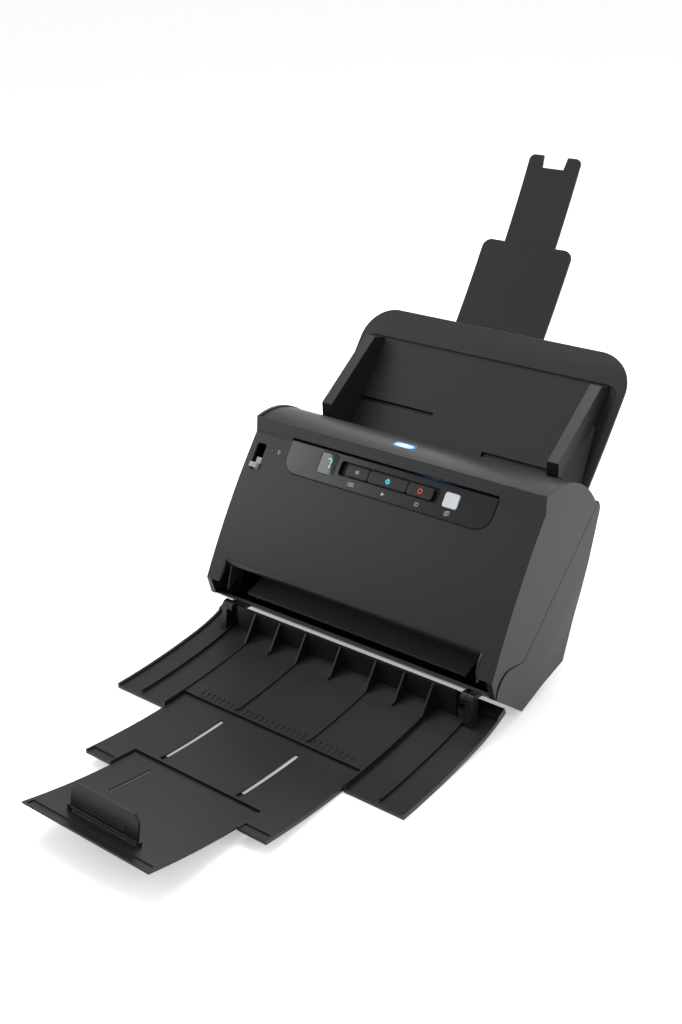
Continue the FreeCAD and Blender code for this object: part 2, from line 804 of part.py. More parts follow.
def key(label, left, right, middle, length, top):
    body = new_body(label)
    outline_of_key = box_of(left, right, middle - length / 2, middle + length / 2)
    pad(body, plan, [outline_of_key], cell("key_height"), lift=top - cell("key_height"), both=False)
    round_edges(body, cell("key_corner"), lambda p, w, e: abs(w.z) > 0.99)
    round_edges(body, 0.4, lambda p, w, e: abs(p.z - top.number) < 1e-4)
    place_on_face(body, cell("panel_middle"))


def keys():
    for label, (left, right) in key_outlines().items():
        key(label, left, right, cell("well_middle"), cell("key_length"), cell("key_top"))
    left = cell("side_key_left")
    key("filter_key", left, left + cell("side_key_width"), cell("side_key_middle"),
        cell("side_key_length"), cell("key_top") + 1.0)


def key_bed():
    """The dark moulding under the keys, with a pad of board behind it."""
    body = new_body("key_bed")
    floor = -cell("wall") - cell("clearance")
    left = box_of(cell("well_left") - 1.5, cell("side_key_left") + cell("side_key_width") + 2.0,
                  cell("well_middle") - cell("well_length") / 2 - 1.2,
                  cell("well_middle") + cell("well_length") / 2 + 1.2)
    pad(body, plan, [left], 1.2, lift=floor - 1.2, both=False)
    place_on_face(body, cell("panel_middle"))
    board = new_body("control_board")
    pad(board, plan, [box_of(-75.0, 75.0, -9.5, 9.0)], cell("board_thick"), lift=floor - 6.0, both=False)
    chips = [centred(9.0, 7.0, x, -2.0) for x in (-52.0, -12.0, 34.0, 61.0)]
    pad(board, plan, chips, 1.4, lift=floor - 6.0 - 1.4, both=False)
    place_on_face(board, cell("panel_middle"))


def display_window():
    body = new_body("display_window")
    shape = centred(cell("window_width"), cell("window_length"),
                    cell("window_left") + cell("window_width") / 2, cell("window_middle"))
    top = cell("panel_proud") - 0.15
    pad(body, plan, [shape], cell("window_height"), lift=top - cell("window_height"), both=False)
    round_edges(body, 2.4, lambda p, w, e: abs(w.z) > 0.99)
    round_edges(body, 0.3, lambda p, w, e: abs(p.z - top.number) < 1e-4)
    place_on_face(body, cell("panel_middle"))


def power_key():
    length, width, rim = cell("power_length"), cell("power_width"), cell("power_rim")
    bezel = new_body("power_bezel")
    outer = stadium(width + rim * 2 - 0.2, length + rim * 2 - 0.2)
    inner = stadium(width + 0.7, length + 0.7)
    pad(bezel, plan, [outer, inner], 3.2, lift=-3.4, both=False)
    spot = ridge_spot(0.0)
    place(bezel, spot[0], spot[1], cell("power_tilt"))
    lens = new_body("power_key")
    pad(lens, plan, [stadium(width, length)], 3.0, lift=-3.2, both=False)
    round_edges(lens, 0.9, lambda p, w, e: p.z > -0.25)
    place(lens, spot[0], spot[1], cell("power_tilt"))


def feed_lever():
    """The selection lever: a slide behind the face and a knob that stands out of its slot."""
    body = new_body("feed_lever")
    rest = cell("lever_slot_length") / 2 - cell("lever_knob_length") / 2 - 1.4
    behind = -cell("wall") - cell("clearance") - 0.1
    slide = centred(6.0, 12.0, 0.0, -rest + 2.0)
    pad(body, plan, [slide], 2.0, lift=behind - 2.0, both=False)
    knob = centred(cell("lever_slot_width") - 1.6, cell("lever_knob_length"), 0.0, -rest)
    pad(body, plan, [knob], 3.4 - behind, lift=behind, both=False)
    round_edges(body, 1.2, lambda p, w, e: p.z > 3.3)
    spot = on_face(cell("lever_slot_middle"))
    place(body, spot[0], spot[1], face_angle(cell("lever_slot_middle")), x=cell("lever_x"))


# ---------------------------------------------------------------- opening unit: inside
def upper_chassis():
    """A folded sheet that spans the unit: a roof with two side plates that carry the idlers."""
    body = new_body("upper_chassis")
    metal = cell("sheet_metal")
    roof = [on_path(19.0, 26.0), on_path(126.0, 26.0), on_path(126.0, 28.0), on_path(19.0, 28.0)]
    pad(body, across, [roof], (half_width - cell("cheek") - cell("arm_inset")) * 2 - metal)
    plate = [on_path(19.0, 3.2), on_path(126.0, 3.2), on_path(126.0, 26.0), on_path(19.0, 26.0)]
    for hand in (1, -1):
        pad(body, across, [plate], metal, lift=cell("frame_x") * hand)
    holes = [(*on_path(at, upper_height(at)), cell("shaft_radius") + cell("running"))
             for at in (cell("feed_at"), cell("drive_at"), cell("eject_at"))]
    cut(body, across, holes, (cell("frame_x") + metal) * 2)
    place(body)


def upper_height(at):
    """Height of an upper roller's axis above the path: it rests on its lower roller through the paper."""
    radius = cell("roller_radius") if at.text == "Sizes.feed_at" else cell("idler_radius")
    return radius + cell("clearance")


def pivot_arms():
    metal = cell("sheet_metal")
    for label, hand in (("pivot_arm_left", -1), ("pivot_arm_right", 1)):
        body = new_body(label)
        arm = [on_path(20.0, 24.0), on_path(20.0, 40.0), on_path(118.0, 36.0),
               (pivot[0] - 6.8, pivot[1] + 1.7), Bend(7.0, 1), (pivot[0] + 6.3, pivot[1] - 3.0),
               on_path(133.0, 3.0), on_path(118.0, 12.0), on_path(112.0, 24.0)]
        pad(body, across, [arm], metal, lift=(half_width - cell("cheek") - cell("arm_inset")) * hand)
        cut(body, across, [(*pivot, cell("pivot_pin") + cell("running"))], cell("width"))
        place(body)


def upper_guide():
    body = new_body("upper_guide")
    low, high = cell("path_gap") / 2, cell("path_gap") / 2 + cell("guide_plate")
    far = cell("path_length") - 3.0
    plates = [
        [on_path(20.0, low), on_path(cell("sensor_from") - 0.5, low), on_path(cell("sensor_from") - 0.5, high),
         on_path(20.0, high)],
        [on_path(cell("sensor_to") + 0.5, low), on_path(far, low), on_path(far + 8.0, low + 6.0),
         on_path(far + 6.5, high + 6.0), on_path(far - 1.0, high), on_path(cell("sensor_to") + 0.5, high)],
    ]
    pad(body, across, plates, cell("guide_half") * 2)
    for at, reach, spans in roller_windows(1):
        windows = [box_of(x_from - 1.0, x_to + 1.0, -at - reach, -at + reach) for x_from, x_to in spans]
        cut(body, plan, windows, 30.0, tilt=(cell("path_slope"), cell("path_y"), cell("path_z")))
    place(body)


def lower_guide():
    body = new_body("lower_guide")
    high = -cell("path_gap") / 2
    low = high - cell("guide_plate")
    far = cell("path_length")
    lip = (cell("pivot_y") - 9.0, cell("pivot_z") + 6.5)
    plates = [
        [on_path(3.5, high), on_path(3.5, low), on_path(cell("sensor_from") - 0.5, low),
         on_path(cell("sensor_from") - 0.5, high)],
        [on_path(cell("sensor_to") + 0.5, high), on_path(cell("sensor_to") + 0.5, low), on_path(far, low),
         (lip[0], lip[1] - 2.0), lip, on_path(far, high)],
    ]
    pad(body, across, plates, cell("guide_half") * 2)
    for at, reach, spans in roller_windows(-1):
        windows = [box_of(x_from - 1.0, x_to + 1.0, -at - reach, -at + reach) for x_from, x_to in spans]
        cut(body, plan, windows, 30.0, tilt=(cell("path_slope"), cell("path_y"), cell("path_z")))
    place(body)


# where the tyres sit across the machine
feed_spans = ((-36.0, -14.0), (14.0, 36.0))
drive_spans = ((-86.0, -62.0), (-26.0, -8.0), (8.0, 26.0), (62.0, 86.0))


def roller_windows(side):
    """Each roller's place on the path, half the length of its windows, and its tyres."""
    feed = cell("feed_at")
    reach = {1: cell("idler_radius"), -1: cell("roller_radius")}[side]
    yield feed, cell("roller_radius"), feed_spans
    for at in (cell("drive_at"), cell("eject_at")):
        yield at, reach, drive_spans


def image_sensors():
    """A sensor housing and its glass on each side of the path."""
    start, stop = cell("sensor_from"), cell("sensor_to")
    gap, plate, depth = cell("path_gap") / 2, cell("guide_plate"), cell("sensor_depth")
    for label, side in (("upper", 1), ("lower", -1)):
        glass = new_body(label + "_glass")
        pad(glass, across, [[on_path(start, gap * side), on_path(stop, gap * side),
                             on_path(stop, (gap + plate) * side), on_path(start, (gap + plate) * side)]],
            cell("guide_half") * 2 - 3.0)
        place(glass)
        housing = new_body(label + "_sensor")
        near, far = (gap + plate + 0.2) * side, (gap + plate + 0.2 + depth) * side
        pad(housing, across, [[on_path(start + 1.0, near), on_path(stop - 1.0, near), on_path(stop - 1.0, far),
                               on_path(start + 1.0, far)]], cell("guide_half") * 2 - 4.0)
        ribs = [on_path(start + 9.0, far), on_path(stop - 9.0, far),
                on_path(stop - 9.0, far + 2.0 * side), on_path(start + 9.0, far + 2.0 * side)]
        pad(housing, across, [ribs], cell("guide_half") * 2 - 14.0)
        place(housing)


# ---------------------------------------------------------------- rollers and drive
def lower_axis(at):
    return on_path(at, -cell("roller_radius"))


def rollers():
    """Three driven rollers below the path, each a shaft with its pulley, and rubber tyres."""
    shaft, radius = cell("shaft_radius"), cell("roller_radius")
    pulley, width = cell("pulley_radius"), cell("belt_width")
    reach = cell("frame_x") + cell("sheet_metal") / 2
    for label, at, spans in (("feed", cell("feed_at"), feed_spans), ("drive", cell("drive_at"), drive_spans),
                             ("eject", cell("eject_at"), drive_spans)):
        axis = lower_axis(at)
        body = new_body(label + "_shaft")
        middle = cell("pulley_x")
        flange = width / 2 + 0.3
        turn_about_x(body, [(-reach - 1.5, middle - flange - 1.0, 0.0, shaft),
                            (middle - flange - 1.0, middle - flange, 0.0, pulley + 1.0),
                            (middle - flange, middle + flange, 0.0, pulley),
                            (middle + flange, middle + flange + 1.0, 0.0, pulley + 1.0)])
        place(body, *axis)
        tyres = new_body(label + "_tyres")
        turn_about_x(tyres, [(x_from, x_to, shaft, radius) for x_from, x_to in spans])
        place(tyres, *axis)


def idlers():
    """Upper rollers of the opening unit: the separation roller and two rows of idlers."""
    shaft = cell("shaft_radius")
    reach = cell("frame_x") + cell("sheet_metal") / 2
    for label, at, radius, spans in (
            ("separation_roller", cell("feed_at"), cell("roller_radius"), feed_spans),
            ("drive_idlers", cell("drive_at"), cell("idler_radius"), drive_spans),
            ("eject_idlers", cell("eject_at"), cell("idler_radius"), drive_spans)):
        body = new_body(label)
        turn_about_x(body, [(-reach - 0.6, reach + 0.6, 0.0, shaft)]
                     + [(x_from, x_to, shaft, radius) for x_from, x_to in spans])
        place(body, *on_path(at, upper_height(at)))


def motor_and_belt():
    metal = cell("sheet_metal")
    inner_face = cell("frame_x") - metal / 2
    axis = (cell("motor_y"), cell("motor_z"))
    motor = new_body("motor")
    r = cell("motor_radius")
    pad(motor, across, [[(axis[0] - r, axis[1] - r), (axis[0] + r, axis[1] - r), (axis[0] + r, axis[1] + r),
                         (axis[0] - r, axis[1] + r)]], cell("motor_length") - 4.0,
        lift=inner_face - cell("motor_length") + 2.0, both=False)
    pad(motor, across, [(*axis, r * 0.7)], 2.0, lift=inner_face - 2.0, both=False)
    round_edges(motor, 4.0, lambda p, w, e: abs(w.x) > 0.99 and e.Length > 20.0)
    place(motor)
    pulley = new_body("motor_pulley")
    middle, flange = cell("pulley_x"), cell("belt_width") / 2 + 0.3
    turn_about_x(pulley, [(inner_face + 0.4, middle - flange - 1.0, 0.0, size_of(2.5)),
                          (middle - flange - 1.0, middle - flange, 0.0, cell("pulley_radius") + 1.0),
                          (middle - flange, middle + flange, 0.0, cell("pulley_radius")),
                          (middle + flange, middle + flange + 1.0, 0.0, cell("pulley_radius") + 1.0)])
    place(pulley, *axis)
    # the belt hugs the pulleys of the feed, eject and motor shafts
    spots = [tuple(v.number for v in spot) for spot in
             (lower_axis(cell("feed_at")), lower_axis(cell("eject_at")), axis)]
    width = cell("belt_width").number
    start = cell("pulley_x").number - width / 2
    loop = Part.makePolygon([Vector(start, y, z) for y, z in spots + spots[:1]])
    inner_radius = cell("pulley_radius").number + 0.06
    thickness = cell("belt_thickness").number
    inner, outer = loop.makeOffset2D(inner_radius), loop.makeOffset2D(inner_radius + thickness)
    face = Part.Face(outer).cut(Part.Face(inner))
    belt = doc.addObject("Part::Feature", "drive_belt")
    belt.Label = "drive_belt"
    belt.Shape = face.extrude(Vector(width, 0, 0))
    place(belt)


# ---------------------------------------------------------------- base unit
def base_side():
    """The side panel's outline: below the parting line, round the hinge boss, down to the desk."""
    gap = cell("parting") / 2
    ring = cell("boss_radius")
    return [
        on_path(-8.5, -gap), (cell("cover_top_y") + 0.5, cell("cover_top_z") + 4.0),
        (cell("cover_top_y"), cell("cover_top_z")), (cell("cover_knee_y"), cell("cover_knee_z")),
        (cell("cover_heel_y"), cell("cover_heel_z")), (cell("toe_y"), 0.0), (cell("chin_y"), cell("chin_z")),
        Bend(ring, -1), (pivot[0], pivot[1] + ring), on_path(cell("path_length"), -gap),
    ]


def side_panels():
    far = 140.0
    lean, start, end = cell("panel_lean"), cell("panel_lean_start"), cell("panel_lean_end")
    for label, hand in (("side_panel_left", -1), ("side_panel_right", 1)):
        body = new_body(label)
        middle = (half_width - cell("side_wall") / 2) * hand
        pad(body, across, [base_side()], cell("side_wall"), lift=middle)
        reach = cell("cheek") + cell("arm_inset") + cell("sheet_metal") / 2 + 0.6 - cell("side_wall")
        pad(body, across, [(*pivot, cell("pivot_pin"))], reach + 0.2,
            lift=(half_width - cell("side_wall") - reach / 2 + 0.1) * hand)
        wedge = [(half_width * hand, 12.0), ((half_width + 8.0) * hand, 12.0),
                 ((half_width + 8.0) * hand, -far), ((half_width - lean) * hand, -far),
                 ((half_width - lean) * hand, -end), (half_width * hand, -start)]
        cut(body, front, [wedge], tilt=(cell("path_slope"), cell("path_z"), -cell("path_y")))
        place(body)


def on_chin(share):
    """A point on the sloping wall under the exit, as a share of the way up from the toe."""
    return (cell("toe_y") + (cell("chin_y") + 3.0 - cell("toe_y")) * share,
            (cell("chin_z") - 1.5 - 0.4) * share + 0.4)


def shell_line():
    return [(cell("toe_y"), size_of(0.4)), (cell("cover_heel_y") - 0.3, cell("cover_heel_z") + 0.2),
            (cell("cover_knee_y") - 0.3, cell("cover_knee_z")), (cell("cover_top_y") - 0.3, cell("cover_top_z"))]


def housing_back():
    return cell("housing_depth") + cell("housing_wall")


def rear_cover():
    body = new_body("rear_cover")
    line = shell_line()
    inner = [(y - 2.4, z + 1.8) for y, z in line]
    front_edge = [on_chin(1.0), (cell("chin_y") + 5.2, cell("chin_z"))]
    start = (line[0][0] + 1.2, line[0][1] + 2.2)
    pad(body, across, [line + inner[::-1][:-1] + [start] + front_edge[::-1]],
        (half_width - cell("side_wall") - 0.4) * 2)
    flange = [(line[-1][0], line[-1][1]), out_of_feed_frame(-5.0, housing_back() + 2.4),
              out_of_feed_frame(8.0, housing_back() + 2.4), out_of_feed_frame(8.0, housing_back() + 0.1),
              out_of_feed_frame(-8.3, housing_back() + 0.1), inner[-1]]
    pad(body, across, [flange], (cell("housing_half") - 6.0) * 2)
    # vents in the upper back
    normal = back_frame(33.0, 5.0)
    vent = new_sketch(body, plan, tilt=(cell("socket_tilt"), normal[0], normal[1]))
    outline(vent, centred(3.0, 26.0, 12.0))
    pocket = body.newObject("PartDesign::Pocket", body.Name + "_cut")
    pocket.Profile = vent
    pocket.SideType = "One side"
    bind(pocket, Length=size_of(14.0))
    cuts.append(pocket)
    row = body.newObject("PartDesign::LinearPattern", body.Name + "_row")
    row.Originals = [pocket]
    row.Direction = (vent, ["H_Axis"])
    row.Length = 84.0
    row.Occurrences = 13
    body.Tip = row
    ports = back_frame(cell("socket_at"), 5.0)
    data_x, power_x = cell("data_socket_x"), cell("power_socket_x")
    cut(body, plan, [centred(13.2, 12.2, data_x), centred(10.2, 12.2, power_x)], 14.0, both=False,
        tilt=(cell("socket_tilt"), ports[0], ports[1]))
    place(body)


def back_frame(along, lift):
    """A point on the back wall, along from its top edge and out of it."""
    tilt = cell("socket_tilt")
    y, z = cell("cover_top_y") - 0.3, cell("cover_top_z")
    rise, run = cosine(tilt), sine(tilt)
    return (y + along * rise - lift * run, z + along * run + lift * rise)


def sockets():
    """A square data socket and a round power socket, both open at the back."""
    face = back_frame(cell("socket_at"), -0.4)
    tilt = cell("socket_tilt")
    data = new_body("data_socket")
    pad(data, plan, [centred(12.8, 11.8)], 12.0, lift=-12.0, both=False)
    cut(data, plan, [centred(9.2, 8.2)], 9.0, both=False)
    place(data, face[0], face[1], tilt, x=cell("data_socket_x"))
    power = new_body("power_socket")
    pad(power, plan, [centred(9.8, 11.8)], 12.0, lift=-12.0, both=False)
    cut(power, plan, [(0.0, 0.0, 3.6)], 10.0, both=False)
    place(power, face[0], face[1], tilt, x=cell("power_socket_x"))
    board = new_body("main_board")
    inside = back_frame(cell("socket_at"), -14.6)
    left = cell("board_inset") - cell("frame_x")
    top = cell("feed_at") + cell("roller_radius") * 2 - cell("board_drop")
    pad(board, plan, [box_of(left, left + cell("board_length"), top, 20.0)], cell("board_thick"), both=False)
    chips = [centred(14.0, 14.0, left + 84.0, 10.0), centred(9.0, 12.0, left + 59.0, 10.0),
             centred(7.0, 7.0, left + 110.0, 12.0)]
    pad(board, plan, chips, 1.6, lift=cell("board_thick"), both=False)
    place(board, inside[0], inside[1], tilt)
    screws = new_body("cover_screws")
    heads = [(x, y, cell("screw_radius")) for x in (-132.0, -30.0, 110.0) for y in (-20.0, 20.0)]
    pad(screws, plan, heads, 1.4, both=False)
    cross = [centred(3.4, 0.9, x, y) for x in (-132.0, -30.0, 110.0) for y in (-20.0, 20.0)]
    cut(screws, plan, cross, 0.7, lift=1.4, both=False)
    seat = back_frame(33.0, 0.0)
    place(screws, seat[0], seat[1], tilt)


def base_pan():
    body = new_body("base_pan")
    left, right = cell("pan_front"), cell("pan_back")
    clear = 0.3
    outer = [(left, 0.0), (right, 0.0), (right, 8.0), (cell("cover_knee_y") + 6.0, cell("cover_knee_z") - 3.0),
             (cell("cover_knee_y") - 1.2, cell("cover_knee_z") - 3.0),
             (cell("cover_heel_y") + 0.2, cell("cover_heel_z") - clear), (left, 2.0 - clear)]
    pad(body, across, [outer], cell("pan_half") * 2)
    wall = cell("wall")
    inner = [(cell("cover_heel_y") + 2.0, wall), (right - wall, wall), (right - wall, 7.0),
             (cell("cover_knee_y") + 4.0, cell("cover_knee_z") - 6.0),
             (cell("cover_knee_y") + 1.0, cell("cover_knee_z") - 6.0),
             (cell("cover_heel_y") + 4.0, cell("cover_heel_z") - 1.0)]
    cut(body, across, [inner], (cell("pan_half") - wall) * 2)
    place(body)
    feet = new_body("feet")
    spots = [(cell("foot_x") * hand, y, cell("foot_radius")) for hand in (1, -1)
             for y in (left + 10.0, right - 10.0)]
    pad(feet, plan, spots, cell("foot_height"), lift=-cell("foot_height"), both=False)
    round_edges(feet, 0.8, lambda p, w, e: p.z < -cell("foot_height").number + 0.01)
    place(feet)


def side_frames():
    metal = cell("sheet_metal")
    for label, hand in (("side_frame_left", -1), ("side_frame_right", 1)):
        body = new_body(label)
        plate = [on_path(8.0, -4.5), on_path(8.0, -12.0), (cell("cover_knee_y") - 6.0, cell("cover_knee_z")),
                 (cell("cover_heel_y") - 6.0, cell("cover_heel_z") + 6.0), (cell("toe_y"), 6.0),
                 (cell("chin_y") + 22.0, cell("chin_z") - 8.0), on_path(cell("path_length") - 2.0, -4.5)]
        pad(body, across, [plate], metal, lift=cell("frame_x") * hand)
        holes = [(*lower_axis(cell(at)), cell("shaft_radius") + cell("running"))
                 for at in ("feed_at", "drive_at", "eject_at")]
        if hand > 0:
            holes.append((cell("motor_y"), cell("motor_z"), size_of(2.5) + 0.5))
        cut(body, across, holes, cell("width"))
        place(body)


def tray_brackets():
    """Lugs in the exit that hold the eject tray's two hinge pins."""
    body = new_body("tray_brackets")
    py, pz = cell("arm_pivot_y"), cell("arm_pivot_z")
    r = cell("arm_round")
    low, high = on_chin(0.55), on_chin(0.96)
    lug = [(py, pz - r), low, high, (py, pz + r), Bend(r, 1, half=True)]
    width = cell("bracket_width")
    for hand in (1, -1):
        middle = cell("arm_inner") - cell("clearance") - width / 2
        pad(body, across, [lug], width, lift=middle * hand)
        pad(body, across, [(py, pz, cell("arm_pin"))], width + cell("arm_width") + 0.6,
            lift=(middle + cell("arm_width") / 2 + 0.3) * hand)
    place(body)


# ---------------------------------------------------------------- feed tray
def place_feed(thing):
    place(thing, feed_base[0], feed_base[1], cell("feed_slope"))


def feed_tray():
    body = new_body("feed_tray")
    half, length = cell("feed_half"), cell("feed_length")
    pad(body, across, [feed_band(0.0, cell("feed_plate"), -cell("feed_tail"), length)], half * 2)
    cut(body, across, [feed_band(-4.0, cell("feed_recess"), 2.5, cell("feed_recess_end"))],
        cell("feed_recess_half") * 2)
    side = cell("rack_foot") + cell("clearance")
    first = cell("guide_closest") + cell("rack_foot_start") - 1.0
    last = cell("guide_face") + cell("rack_foot_start") + cell("rack_foot_length") + cell("guide_spread") + 1.0
    slots = [box_of(-last, -first, rack_line(1) - side, rack_line(1) + side),
             box_of(first, last, rack_line(-1) - side, rack_line(-1) + side)]
    cut(body, plan, slots, 60.0)
    edge, top = half.number, length.number
    round_edges(body, cell("feed_corner"), lambda p, w, e: abs(w.z) > 0.9 and abs(abs(p.x) - edge) < 0.1
                and p.y > top - 8)
    recess_end = cell("feed_recess_end").number
    round_edges(body, 9.0, lambda p, w, e: abs(w.z) > 0.9 and abs(abs(p.x) - cell("feed_recess_half").number) < 0.1
                and abs(p.y - recess_end) < 3.0)
    round_edges(body, 0.9, lambda p, w, e: abs(abs(p.x) - edge) < 0.1 and abs(w.y) > 0.9 and e.Length > 60)
    place_feed(body)


def rack_line(hand):
    """How far up the tray each rack's foot runs: the left guide's above the pinion, the right one's below."""
    pitch = cell("tooth_module") * cell("pinion_teeth") / 2
    return cell("pinion_at") + (pitch + cell("rack_back")) * hand


def feed_housing():
    """The tray's back: it closes the space for the racks and the extension."""
    body = new_body("feed_housing")
    depth, wall = cell("housing_depth"), cell("housing_wall")
    length = cell("feed_length") - cell("housing_short")
    plate = cell("feed_plate") + 0.1
    pad(body, across, [feed_band(plate, depth + wall, -8.0, length)], cell("housing_half") * 2)
    cut(body, across, [feed_band(plate - 3.0, depth, -5.5, length + 20.0)], (cell("housing_half") - wall) * 2)
    pin = (size_of(0.0), cell("pinion_at"), cell("pinion_pin"))
    pad(body, plan, [pin], depth - plate - 0.2, lift=-depth - 0.3, both=False)
    place_feed(body)


def feed_extension():
    """Two curved plates that slide out of the tray, the second behind the first."""
    plate = cell("stage_plate")
    top, reach, lap = cell("feed_length"), cell("stage_reach"), cell("stage_overlap")
    depth_one, depth_two = stage_depth(1), stage_depth(2)
    one = new_body("feed_stage_one")
    pad(one, across, [feed_band(depth_one, depth_one + plate, top - lap, top + reach)], cell("stage_one_half") * 2)
    two = new_body("feed_stage_two")
    pad(two, across, [feed_band(depth_two, depth_two + plate, top + reach - lap, top + reach * 2)],
        cell("stage_two_half") * 2)
    tip = cell("feed_radius") * sine(feed_angle(top + reach * 2))
    notch = [(-cell("notch_half"), tip + 6.0), (-cell("notch_half") + 2.0, tip - cell("notch_depth")),
             (cell("notch_half") - 2.0, tip - cell("notch_depth")), (cell("notch_half"), tip + 6.0)]
    cut(two, plan, [notch], 400.0)
    for body, half, corner in ((one, cell("stage_one_half"), 8.0), (two, cell("stage_two_half"), 5.0)):
        side, far = half.number, (top + reach).number - 12.0
        round_edges(body, corner, lambda p, w, e, s=side, f=far: abs(abs(p.x) - s) < 0.1 and e.Length < 4.0
                    and p.y > f and abs(w.x) < 0.1)
        place_feed(body)


def guide_side():
    """A guide's side view in the tray's frame: its floor follows the recess, its front is upright."""
    floor = cell("feed_radius") + cell("feed_recess") - 0.3
    start, end = cell("guide_from"), cell("guide_to")
    front_y, front_z = cell("guide_front_y"), cell("guide_front_z")
    crown_from = on_arc(feed_centre, cell("feed_radius") - cell("guide_height"), feed_angle(start))
    crown_to = on_arc(feed_centre, cell("feed_radius") - cell("guide_end_height"), feed_angle(cell("guide_knee")))
    low = in_feed_frame(front_y, front_z)
    slope = cell("feed_slope")
    rise = (low[0] - crown_from[0]) / (sine(slope) * -1.0)
    under = (crown_from[0] - rise * sine(slope), crown_from[1] - rise * cosine(slope))
    return [
        on_arc(feed_centre, floor, feed_angle(3.4)), Bend(floor, 1),
        on_arc(feed_centre, floor, feed_angle(end)), crown_to, crown_from, under,
        on_arc(feed_centre, cell("feed_radius") - 0.5, feed_angle(-11.0)),
        on_arc(feed_centre, cell("feed_radius") - 0.5, feed_angle(3.4)),
    ]


def document_guides():
    """The two guides, each with the foot and rack that tie it to its twin."""
    pitch = cell("tooth_module") * cell("pinion_teeth") / 2
    for label, hand in (("guide_left", -1), ("guide_right", 1)):
        body = new_body(label)
        face, top = cell("guide_face"), cell("guide_top")
        pad(body, across, [guide_side()], top, lift=(face + top / 2) * hand)
        skirt(body, hand, face + top)
        line = rack_line(-hand)
        depth = cell("feed_plate") + cell("rack_gap") + 0.1
        half_foot = cell("rack_foot")
        foot_start = face + cell("rack_foot_start")
        foot_end = foot_start + cell("rack_foot_length")
        foot = sorted((foot_start * hand, foot_end * hand), key=number)
        pad(body, plan, [box_of(foot[0], foot[1], line - half_foot, line + half_foot)],
            depth + 2.6, lift=-depth - 2.2, both=False)
        # the rack lies behind the plate; its teeth face the pinion
        tips = cell("pinion_at") - (pitch - cell("tooth_rise")) * hand
        roots = cell("pinion_at") - (pitch + cell("tooth_root")) * hand
        ends = sorted((foot_end * hand, cell("rack_lap") * -hand), key=number)
        rows = sorted((tips, line - half_foot * hand), key=number)
        pad(body, plan, [box_of(ends[0], ends[1], rows[0], rows[1])], 2.0, lift=-depth - 2.2, both=False)
        rack_teeth(body, hand, tips, roots)
        place_feed(body)


def rack_teeth(body, hand, tips, roots):
    """Cuts the gaps between the rack's teeth, one every pitch, starting at the pinion."""
    step = cell("tooth_module") * math.pi
    wide = step * (1 - cell("tooth_share")) / 2
    lean = 0.3
    depth = cell("feed_plate") + cell("rack_gap") + 0.1
    past = tips + 1.0 * hand
    start = step * -3.0 * hand
    sketch = new_sketch(body, plan, lift=-depth)
    outline(sketch, [(start - wide + lean, roots), (start + wide - lean, roots), (start + wide + lean, past),
                     (start - wide - lean, past)])
    gap = body.newObject("PartDesign::Pocket", body.Name + "_gap")
    gap.Profile = sketch
    gap.SideType = "One side"
    bind(gap, Length=size_of(3.0))
    cuts.append(gap)
    row = body.newObject("PartDesign::LinearPattern", body.Name + "_row")
    row.Originals = [gap]
    row.Direction = (sketch, ["H_Axis"])
    row.Reversed = hand < 0
    row.Mode = "Spacing"
    bind(row, Offset=step)
    bind(row, Occurrences=whole((cell("guide_face") + cell("rack_foot_start")) / step))
    body.Tip = row


def number(value):
    return value.number


def skirt(body, hand, inner):
    """The leaf-shaped flare on the guide's outer side, widest at the front."""
    reach, height = cell("skirt_reach"), cell("skirt_height")
    profiles = []
    for along, share in ((-3.0, 1.0), (cell("skirt_length"), 0.12)):
        sketch = new_sketch(body, front, lift=-size_of(along))
        rest = size_of(0.5)
        edge = [((inner - 0.5) * hand, rest), ((inner + reach * share) * hand, rest),
                ((inner - 0.5) * hand, rest + height * share)]
        outline(sketch, edge)
        profiles.append(sketch)
    loft = body.newObject("PartDesign::AdditiveLoft", body.Name + "_skirt")
    loft.Profile = profiles[0]
    loft.Sections = profiles[1:]
    loft.Ruled = True


def guide_pinion():
    """The toothed wheel between the racks; it turns on a pin of the housing."""
    body = new_body("guide_pinion")
    module, teeth = cell("tooth_module"), cell("pinion_teeth")
    pitch = module * teeth / 2
    rise, drop, share = cell("tooth_rise"), cell("tooth_root"), cell("tooth_share")
    depth = cell("feed_plate") + cell("rack_gap") + 0.1
    bore = cell("pinion_pin") + cell("running")
    origin = size_of(0.0)
    pad(body, plan, [(origin, origin, pitch - drop), (origin, origin, bore)], 2.0, lift=-depth - 2.2, both=False)
    wide, lean = module * math.pi * share / 2, 0.3
    tooth = [(-wide - lean, pitch - drop - 0.3), (wide + lean, pitch - drop - 0.3), (wide - lean, pitch + rise),
             (lean - wide, pitch + rise)]
    first = pad(body, plan, [tooth], 2.0, lift=-depth - 2.2, both=False)
    ring = body.newObject("PartDesign::PolarPattern", body.Name + "_teeth")
    ring.Originals = [first]
    ring.Axis = (first.Profile[0], ["N_Axis"])
    ring.Angle = 360
    bind(ring, Occurrences=teeth)
    body.Tip = ring
    spot = out_of_feed_frame(cell("pinion_at"), 0.0)
    place(body, spot[0], spot[1], cell("feed_slope"))


# ---------------------------------------------------------------- eject tray
def rear_centre():
    turn = cell("tray_turn")
    shift = cell("tray_radius") - cell("tray_rear_radius")
    return (tray_centre[0] + shift * sine(turn), tray_centre[1] - shift * cosine(turn))


